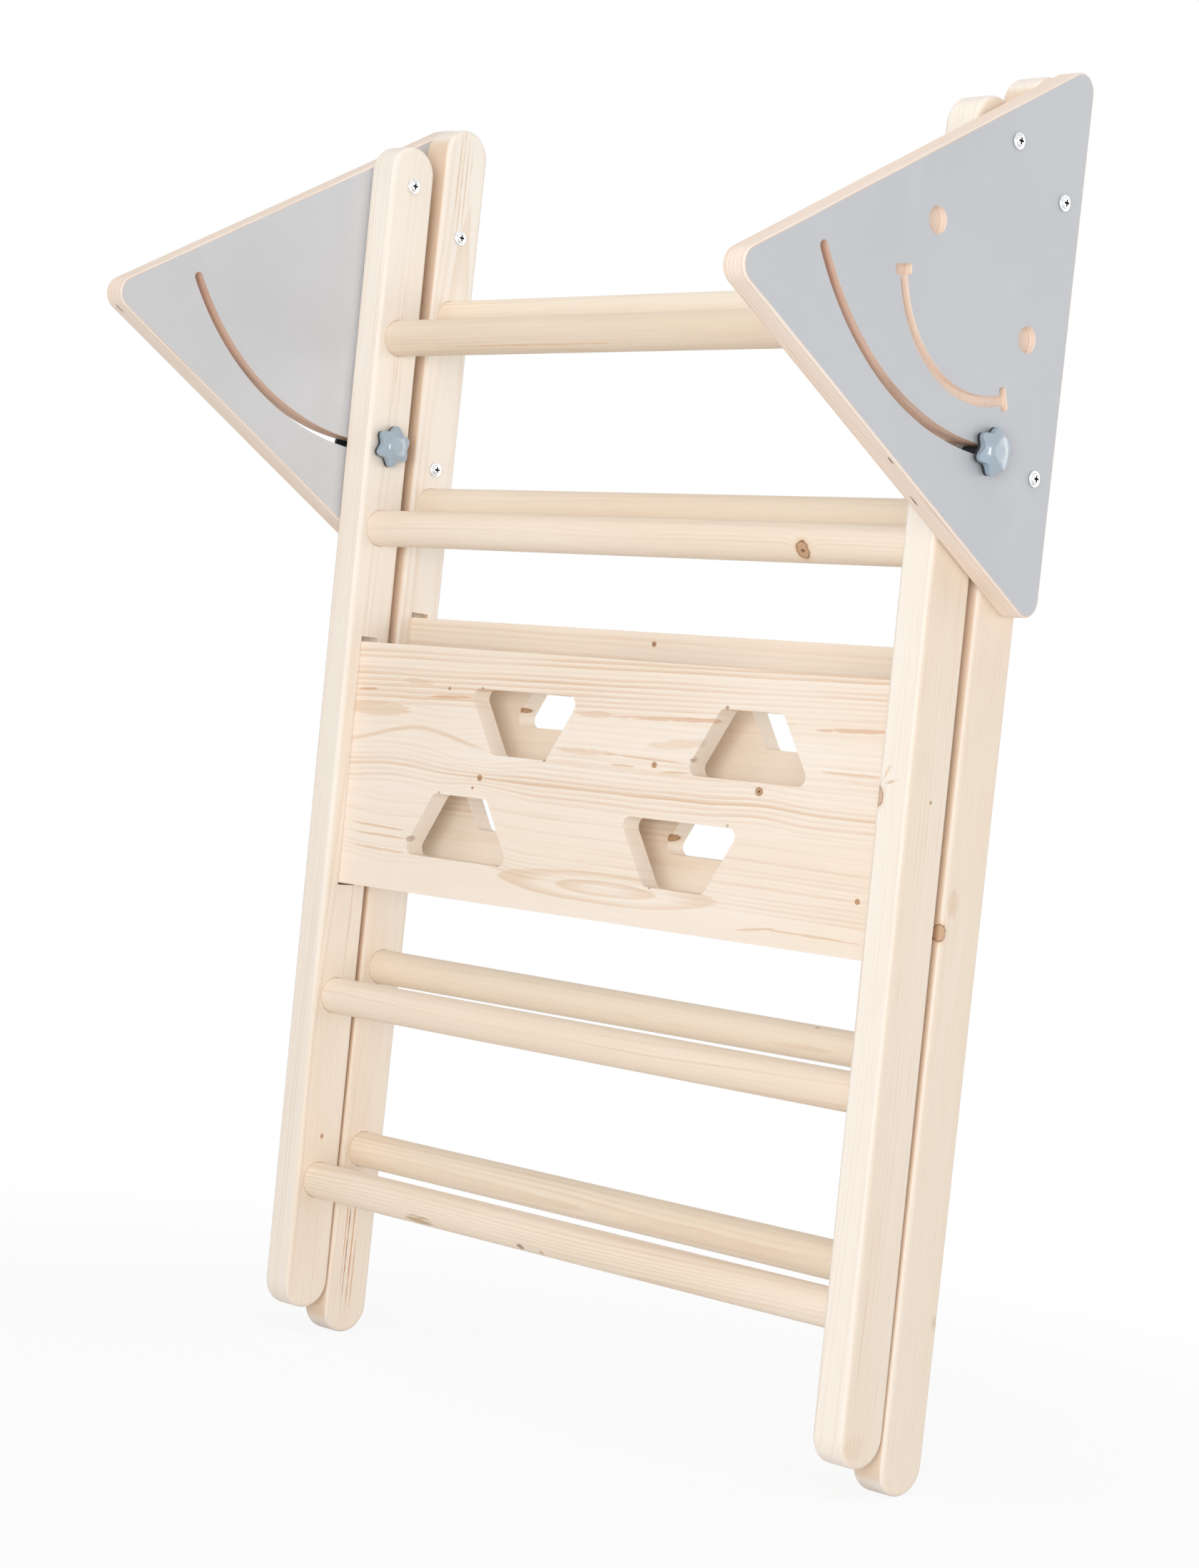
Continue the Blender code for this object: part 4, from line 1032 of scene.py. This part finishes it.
def side_plate(side, finishes):
    """A triangle with its lock slot about the pivot, the right one with a face routed into its outer side.

    Its finishes are, in this order, for the two faces, the edges, the floors of the pockets and the slot.
    """
    planes = (side * PLATE_INNER, side * PLATE_OUTER)
    middle = sum(CORNERS, Vector((0.0, 0.0))) / 3
    inset = PLATE_ROUNDING / sin(PLATE_TILT)
    round_centres = [corner + (middle - corner).normalized() * inset for corner in CORNERS]
    bm = slab(round_centres, PLATE_ROUNDING, *sorted(planes))
    round_rim(bm, PLATE_EASING, 4)

    pivot = Vector((PIVOT.y, PIVOT.z))
    low, high = min(planes) - OVERRUN, max(planes) + OVERRUN
    cutters = [arc_groove(pivot, LOCK_RADIUS, SLOT_WIDTH, SLOT_FIRST, SLOT_LAST, low, high, RUNG_STEPS)]
    holes = bmesh.new()
    for turn in (SLOT_FIRST, SLOT_LAST):
        end = (pivot.x - LOCK_RADIUS * sin(turn), pivot.y - LOCK_RADIUS * cos(turn))
        bar(holes, (low - STAGGER, *end), (high + STAGGER, *end), SLOT_WIDTH, steps=BOLT_STEPS)
    for place in BOLT_PLACES.values():
        bar(holes, (low, *place), (high, *place), BARREL_DIAMETER + 2 * FIT, steps=HOLE_STEPS)
    cutters.append(holes)
    if side > 0:
        cutters += face_cutters()
    carve(bm, cutters)
    for part in bm.faces:
        centre = part.calc_center_median()
        at_face = min(abs(centre.x - plane) for plane in planes) < SAME_PLANE
        in_slot = abs((centre.yz - pivot).length - LOCK_RADIUS) < SLOT_WIDTH / 2 + SAME_PLANE
        in_slot = in_slot and SLOT_LOW_Z < centre.z < SLOT_HIGH_Z and centre.y < pivot.x + SLOT_WIDTH
        if abs(part.normal.x) > 0.9995:
            part.material_index = 0 if at_face else 2
        else:
            part.material_index = 3 if in_slot else 1
    return finished(f"side_plate_{side_word(side)}", bm, "back_frame", finishes)


FACE_DOWN = Vector((-sin(PLATE_TILT), -cos(PLATE_TILT)))
FACE_ASIDE = Vector((cos(PLATE_TILT), -sin(PLATE_TILT)))


def face_cutters():
    """Two eyes and a smile with a short bar across each end."""
    low, high = PLATE_OUTER - POCKET_DEPTH, PLATE_OUTER + OVERRUN
    centre = CORNERS[0] + FACE_DOWN * SMILE_CENTRE
    ends = PLATE_TILT - SMILE_SPAN, PLATE_TILT + SMILE_SPAN
    cutters = [arc_groove(centre, SMILE_RADIUS, SMILE_WIDTH, *ends, low, high, SEAT_STEPS)]
    reach, half = SMILE_BAR_LONG / 2 - SMILE_BAR_ROUNDING, SMILE_BAR_WIDE / 2 - SMILE_BAR_ROUNDING
    for turn in (-SMILE_SPAN, SMILE_SPAN):
        outward = FACE_DOWN * cos(turn) + FACE_ASIDE * sin(turn)
        across = FACE_ASIDE * cos(turn) - FACE_DOWN * sin(turn)
        middle = centre + outward * SMILE_RADIUS
        corners = [middle + outward * (reach * i) + across * (half * j) for i in (-1, 1) for j in (-1, 1)]
        cutters.append(slab(corners, SMILE_BAR_ROUNDING, low, high + STAGGER, HOLE_STEPS))
    for aside in (-EYE_APART / 2, EYE_APART / 2):
        place = CORNERS[0] + FACE_DOWN * EYE_DOWN + FACE_ASIDE * aside
        eye = bmesh.new()
        bar(eye, (low, *place), (high, *place), EYE_DIAMETER, steps=RUNG_STEPS)
        cutters.append(eye)
    return cutters


# Bolts, nuts and washers

# The head's outline from rim to middle, as shares of its radius and its height
HEAD_SHARES = [
    (0.97, 0.0), (1.0, 0.10), (1.0, 0.28), (0.96, 0.38), (0.88, 0.43), (0.74, 0.47), (0.69, 0.56),
    (0.66, 0.80), (0.60, 0.93), (0.50, 0.98), (0.20, 1.0), (0.0, 1.0),
]
HEAD_PROFILE = [(HEAD_HEIGHT * rise, HEAD_DIAMETER / 2 * out) for out, rise in reversed(HEAD_SHARES)]


def cross_cutters(facing):
    """A cross for the screwdriver, two bars that narrow toward their bottom."""
    cutters = []
    for wide, high in ((CROSS_REACH, CROSS_ARM), (CROSS_ARM, CROSS_REACH)):
        start = facing * (HEAD_HEIGHT - CROSS_DEPTH)
        ends = sorted((start, facing * (HEAD_HEIGHT + 2 * STAGGER)))
        bm = bmesh.new()
        block(bm, (ends[0], -wide / 2, -high / 2), (ends[1], wide / 2, high / 2))
        floor = [vert for vert in bm.verts if abs(vert.co.x - start) < WELD]
        bmesh.ops.scale(bm, vec=(1.0, CROSS_TAPER, CROSS_TAPER), verts=floor)
        cutters.append(bm)
    return cutters


def crossed_head(node, profile, facing, seat, metal):
    """A turned bolt or nut with its cross; facing is the way that the head looks along x."""
    bm = turned([(facing * along, out) for along, out in profile])
    carve(bm, cross_cutters(facing))

    def on_top(edge):
        return all(vert.co.x * facing > HEAD_HEIGHT * 0.5 for vert in edge.verts)

    round_rim(bm, BOLT_EASING, 2, sharper=40, only=on_top)
    lowest, highest = HEAD_HEIGHT - CROSS_DEPTH - SAME_PLANE, HEAD_HEIGHT - BOLT_EASING * 1.5
    # Faces sunk in the cross take the second finish, which is painted shade
    for part in bm.faces:
        middle = part.calc_center_median()
        sunk = lowest < middle.x * facing < highest and middle.yz.length < HEAD_DIAMETER * RECESS_SHARE
        part.material_index = 1 if sunk else 0
    return finished(node, moved(bm, *seat), "back_frame", metal)


def furniture_bolt(kind, side, inner, metal):
    """A screw from the outer side of the plate, and the nut with its long barrel from inside the rail."""
    y, z = BOLT_PLACES[kind]
    thin = SCREW_DIAMETER / 2
    tip = -SCREW_LENGTH
    shank = [(0.0, thin), (tip + SCREW_POINT, thin), (tip, thin - SCREW_POINT), (tip, 0.0)]
    seat = (side * (PLATE_OUTER + FIT), y, z)
    crossed_head(f"{kind}_bolt_{side_word(side)}", HEAD_PROFILE + shank, side, seat, metal)
    length = PLATE_OUTER - BARREL_SHORT - inner + FIT
    hollow = PLATE_OUTER + FIT - SCREW_LENGTH - 2 * SCREW_POINT - inner + FIT
    wall, hole = BARREL_DIAMETER / 2, SCREW_DIAMETER / 2 + FIT
    barrel = [(0.0, wall), (-length, wall), (-length, hole), (-hollow, hole), (-hollow, 0.0)]
    seat = (side * (inner - FIT), y, z)
    crossed_head(f"{kind}_nut_{side_word(side)}", HEAD_PROFILE + barrel, -side, seat, metal)


def washer(kind, ladder, side, y, z, hole, plastic):
    """A thin flat ring between plate and rail, which rides with a ladder."""
    inner, outer = hole / 2 + FIT, WASHER_DIAMETER / 2
    low, high, ease = FIT, SIDE_PLAY - FIT, WASHER_EASING
    profile = [(low, inner), (low, outer - ease), (low + ease, outer)]
    profile += [(high - ease, outer), (high, outer - ease), (high, inner), (low, inner)]
    bm = turned([(side * along, out) for along, out in profile], SEAT_STEPS)
    moved(bm, side * FRONT_OUTER, y, z)
    node = f"{kind}_washer_{side_word(side)}"
    return finished(node, bm, ladder.body, [plastic], ladder.place)


# Locks

def lock_bolt(word, x, black):
    """A low round head with a soft rim, and the shank through plate, rail and knob."""
    wide, thin, high = LOCK_HEAD_DIAMETER / 2, LOCK_BOLT_DIAMETER / 2, LOCK_HEAD_HEIGHT
    reach = PLATE_OUTER - FRONT_INNER + FIT + KNOB_SEAT + BOLT_GRIP
    tip, ease = 2 * FINE_EASING, FINE_EASING
    profile = [
        (-high, 0.0), (-high, wide * 0.60), (-high * 0.97, wide * 0.78), (-high * 0.86, wide * 0.90),
        (-high * 0.66, wide * 0.97), (-high * 0.42, wide), (-ease, wide), (0.0, wide - ease), (0.0, thin),
        (reach - tip, thin), (reach, thin - tip), (reach, 0.0),
    ]
    bm = moved(turned(profile, RUNG_STEPS), x, FRONT_Y, LOCK_Z)
    return finished(f"lock_bolt_{word}", bm, "front_ladder", [black], LEANING)


def knob_base(word, x, black):
    """A flat disc with eased rims, between the knob and what it presses on."""
    wide, high, ease = KNOB_BASE_DIAMETER / 2, KNOB_BASE_HEIGHT, FINE_EASING
    hole = LOCK_BOLT_DIAMETER / 2 + FIT
    profile = [
        (0.0, hole), (0.0, wide - ease), (ease, wide),
        (high - KNOB_BASE_SHOULDER, wide), (high - ease, wide - ease / 2),
        (high, wide - 2 * ease), (high, hole), (0.0, hole),
    ]
    bm = moved(turned(profile, RUNG_STEPS), x, FRONT_Y, LOCK_Z)
    return finished(f"knob_base_{word}", bm, f"knob_seat_{word}", [black], LEANING)


def dome_height(reach):
    """Height of the knob's face: level in the middle, then falling toward the tips of the lobes."""
    beyond = max(0.0, reach / (KNOB_DIAMETER / 2) - KNOB_FLAT) / (1.0 - KNOB_FLAT)
    return KNOB_HEIGHT - (KNOB_HEIGHT - KNOB_TIP_HEIGHT) * beyond ** 1.5


def star_edge(facing):
    """How far the star reaches in a direction."""
    outer, valley = KNOB_DIAMETER / 2, KNOB_VALLEY / 2
    angle = Vector((1.0, 0.0)).angle_signed(facing)
    return valley + (outer - valley) * (0.5 + 0.5 * cos(KNOB_LOBES * angle)) ** KNOB_LOBE_SLIMNESS


# The knob from its foot up: heights and shares of the edge on its wall, with a seam above the foot, then
# how far up and in its ridge bends, in easings, and the shares of the edge on its dome
KNOB_WALL = [
    (0.0, 0.975), (2 * KNOB_SEAM, 0.990), (8 * KNOB_SEAM, 1.0), (KNOB_FOOT_HEIGHT - 2 * KNOB_SEAM, 1.0),
    (KNOB_FOOT_HEIGHT, 0.990), (KNOB_FOOT_HEIGHT + KNOB_SEAM, 0.990), (KNOB_FOOT_HEIGHT + 3 * KNOB_SEAM, 1.0),
]
KNOB_RIDGE = [(-1.0, 0.0), (-0.62, 0.08), (-0.29, 0.29), (-0.08, 0.62), (0.0, 1.0)]
KNOB_DOME = [0.94, 0.91, 0.87, 0.82, 0.76, 0.70, 0.63, 0.56, 0.49, 0.42, 0.36, KNOB_FLAT]


def wall_point(edge, step):
    height, share = step
    return edge * share, height


def ridge_point(edge, step):
    up, inward = step
    return edge - KNOB_EASING * inward, dome_height(edge - KNOB_EASING) + KNOB_EASING * up


def dome_point(edge, share):
    """The star turns into a circle toward the middle of the face."""
    roundness = min(1.0, (1.0 - share) / (1.0 - KNOB_FLAT)) ** 1.6
    reach = (edge * (1.0 - roundness) + KNOB_DIAMETER / 2 * roundness) * share
    return reach, dome_height(reach)


def star_knob(word, x, plastic, black):
    """A six-lobed star cut from a dome, on a black foot; a blind bore behind takes the bolt."""
    levels = [(wall_point, step) for step in KNOB_WALL] + [(ridge_point, step) for step in KNOB_RIDGE]
    levels += [(dome_point, share) for share in KNOB_DOME]
    bm = bmesh.new()
    ring(bm, (0.0, 0.0, 0.0), KNOB_DIAMETER / 2, KNOB_LOBES * LOBE_STEPS, "Z", cap=True)
    foot = face = bm.faces[:][0]
    for number, (point, step) in enumerate(levels):
        if number:
            grown = bmesh.ops.extrude_face_region(bm, geom=[face])["geom"]
            if face is not foot:
                bmesh.ops.delete(bm, geom=[face], context="FACES_ONLY")
            face = [part for part in grown if isinstance(part, bmesh.types.BMFace)][0]
        for vert in face.verts:
            facing = vert.co.xy.normalized()
            reach, height = point(star_edge(facing), step)
            vert.co = (facing.x * reach, facing.y * reach, height)
    bmesh.ops.recalc_face_normals(bm, faces=bm.faces)
    for turn, axis in ((KNOB_TURN[word], "Z"), (pi / 2, "Y")):
        bmesh.ops.rotate(bm, cent=(0.0, 0.0, 0.0), matrix=Matrix.Rotation(turn, 3, axis), verts=bm.verts)
    bore = bmesh.new()
    end = BOLT_GRIP + 4 * FIT
    bar(bore, (-OVERRUN, 0.0, 0.0), (end, 0.0, 0.0), LOCK_BOLT_DIAMETER + 2 * FIT, steps=HOLE_STEPS)
    carve(bm, [bore])
    for part in bm.faces:
        part.material_index = 1 if part.calc_center_median().x < KNOB_FOOT_HEIGHT + SAME_PLANE / 2 else 0
    moved(bm, x, FRONT_Y, LOCK_Z)
    finishes = [plastic, black]
    return finished(f"star_knob_{word}", bm, f"knob_{word}", finishes, LEANING, sharp=50)


# The whole object

def ladders():
    """Rails, rungs and boards of both ladders."""
    for side in (-1, 1):
        for ladder in (FRONT, BACK):
            rail(ladder, side, rail_wood(ladder, side))
    for ladder in (FRONT, BACK):
        for number, drop in enumerate(drops(ladder), start=1):
            height = ladder.top - drop
            rung(ladder, number, height, rung_wood(ladder, number, height))
    for ladder in (FRONT, BACK):
        board(ladder, board_wood(ladder))


def plates_and_locks():
    """Side plates, their bolts and washers, and the locks."""
    # The metal finishes: bright zinc, and painted shade for the bottom of the cross
    pocket, slot_walls, metal = routed_wood(), slot_wood(), [bright_zinc(), painted_recess_shade()]
    black, knob_finish, washer_finish = black_plastic(), knob_plastic(), nylon()
    for side in (-1, 1):
        side_plate(side, [plate_film(side), ply_edge(side), pocket, slot_walls])
        furniture_bolt("pivot", side, FRONT_INNER, metal)
        furniture_bolt("upper_fixing", side, BACK_INNER, metal)
        furniture_bolt("lower_fixing", side, BACK_INNER, metal)
        washer("pivot", BACK, side, PIVOT.y, PIVOT.z, BARREL_DIAMETER, washer_finish)
        washer("lock", FRONT, side, FRONT_Y, LOCK_Z, LOCK_BOLT_DIAMETER, washer_finish)
    for word, face in (("left", -PLATE_OUTER), ("right", FRONT_INNER)):
        far = face + PLATE_OUTER - FRONT_INNER
        lock_bolt(word, face - FIT, black)
        knob_base(word, far + FIT, black)
        star_knob(word, far + KNOB_SEAT, knob_finish, black)


ladders()
plates_and_locks()


# Floor, light and camera. The picture's size and lens are in its own pixels, the sensor in millimetres.

FLOOR_HALF = 30.0
FLOOR_TINT = (243.445, 243.445, 243.445)  # reflects nine tenths of the light
SHADOW_ENDS = (0.45, 1.60)  # the object's shadow fades between these distances from the middle
SHADOW_WHITE = 0.88
WORLD_LEVEL = 0.40
WHITE = (1.0, 1.0, 1.0, 1.0)
PICTURE_HEIGHT = 2197.0
LENS_PIXELS = 4695.388
RISE_PIXELS = 101.5
SENSOR = 36.0
CAMERA_PLACE = (2.15567, -2.03459, 0.57645)
CAMERA_TURN = (1.547731, -0.107330, 0.790040)

# Each lamp's name, its place, the point that it looks at, its width and height, and its power in watts
LAMPS = [
    ("key", (2.6, -3.4, 1.8), (0.0, 0.0, 0.6), (2.4, 2.4), 26.0),
    ("low", (2.3, -3.6, 0.75), (0.0, 0.0, 0.55), (1.8, 1.2), 56.0),
    ("behind", (1.6, 3.2, 1.3), (0.0, 0.0, 0.6), (2.2, 2.0), 24.0),
    ("front", (-0.8, -3.6, 2.6), (0.0, 0.0, 0.6), (2.0, 2.0), 14.0),
    ("above", (0.4, -0.5, 3.8), (0.0, 0.0, 0.6), (2.2, 2.2), 26.0),
    ("window", (3.5, 0.95, 1.05), (0.4, 0.0, 0.9), (0.24, 0.85), 10.0),
]


def backdrop_share(tree):
    """1 for what the camera or a shiny surface sees, and 0 for the light that reaches the object."""
    rays = add_node(tree, "LightPath").outputs
    return Field(tree, rays["Is Camera Ray"]).math("MAXIMUM", Field(tree, rays["Is Glossy Ray"]))


def floor():
    """A pale floor that keeps the object's shadow and is white further out."""
    bm = bmesh.new()
    bmesh.ops.create_grid(bm, x_segments=1, y_segments=1, size=FLOOR_HALF)
    mesh = bpy.data.meshes.new("floor")
    bm.to_mesh(mesh)
    bm.free()
    item = bpy.data.objects.new("floor", mesh)
    bpy.context.scene.collection.objects.link(item)
    paint = Finish("floor_white", FLOOR_TINT, specular=0.1)
    feed(paint.shader, {"Base Color": paint.colour, "Roughness": 0.8})
    glow = paint.node("Emission", {"Color": WHITE, "Strength": 1.0})
    away = paint.field("VectorMath", "Value", {0: paint.place}, operation="LENGTH")
    share = backdrop_share(paint.tree) * away.between(*SHADOW_ENDS, SHADOW_WHITE, 1.0)
    mix = paint.node("MixShader", {0: share, 1: paint.shader.outputs[0], 2: glow.outputs[0]})
    feed(paint.tree.nodes["Material Output"], {"Surface": mix.outputs[0]})
    mesh.materials.append(paint.material)


def daylight():
    """A white world that lights the object at a plain level."""
    world = bpy.data.worlds.new("studio")
    bpy.context.scene.world = world
    world.use_nodes = True
    level = backdrop_share(world.node_tree).between(0.0, 1.0, WORLD_LEVEL, 1.0)
    feed(world.node_tree.nodes["Background"], {"Color": WHITE, "Strength": level})


def lamp(name, place, aim, size, power):
    light = bpy.data.lights.new(name, "AREA")
    light.shape = "RECTANGLE"
    light.size, light.size_y = size
    light.energy = power
    item = bpy.data.objects.new(name, light)
    item.location = place
    item.rotation_euler = (Vector(aim) - Vector(place)).to_track_quat("-Z", "Y").to_euler()
    bpy.context.scene.collection.objects.link(item)


def camera():
    lens = bpy.data.cameras.new("camera")
    lens.sensor_fit = "AUTO"
    lens.sensor_width = SENSOR
    lens.lens = LENS_PIXELS * SENSOR / PICTURE_HEIGHT
    lens.shift_y = RISE_PIXELS / PICTURE_HEIGHT
    lens.clip_start = 0.05
    item = bpy.data.objects.new("camera", lens)
    item.location = CAMERA_PLACE
    item.rotation_euler = CAMERA_TURN
    bpy.context.scene.collection.objects.link(item)
    bpy.context.scene.camera = item


floor()
daylight()
for row in LAMPS:
    lamp(*row)
camera()
bpy.context.scene.view_settings.view_transform = "Standard"

bpy.context.view_layer.update()
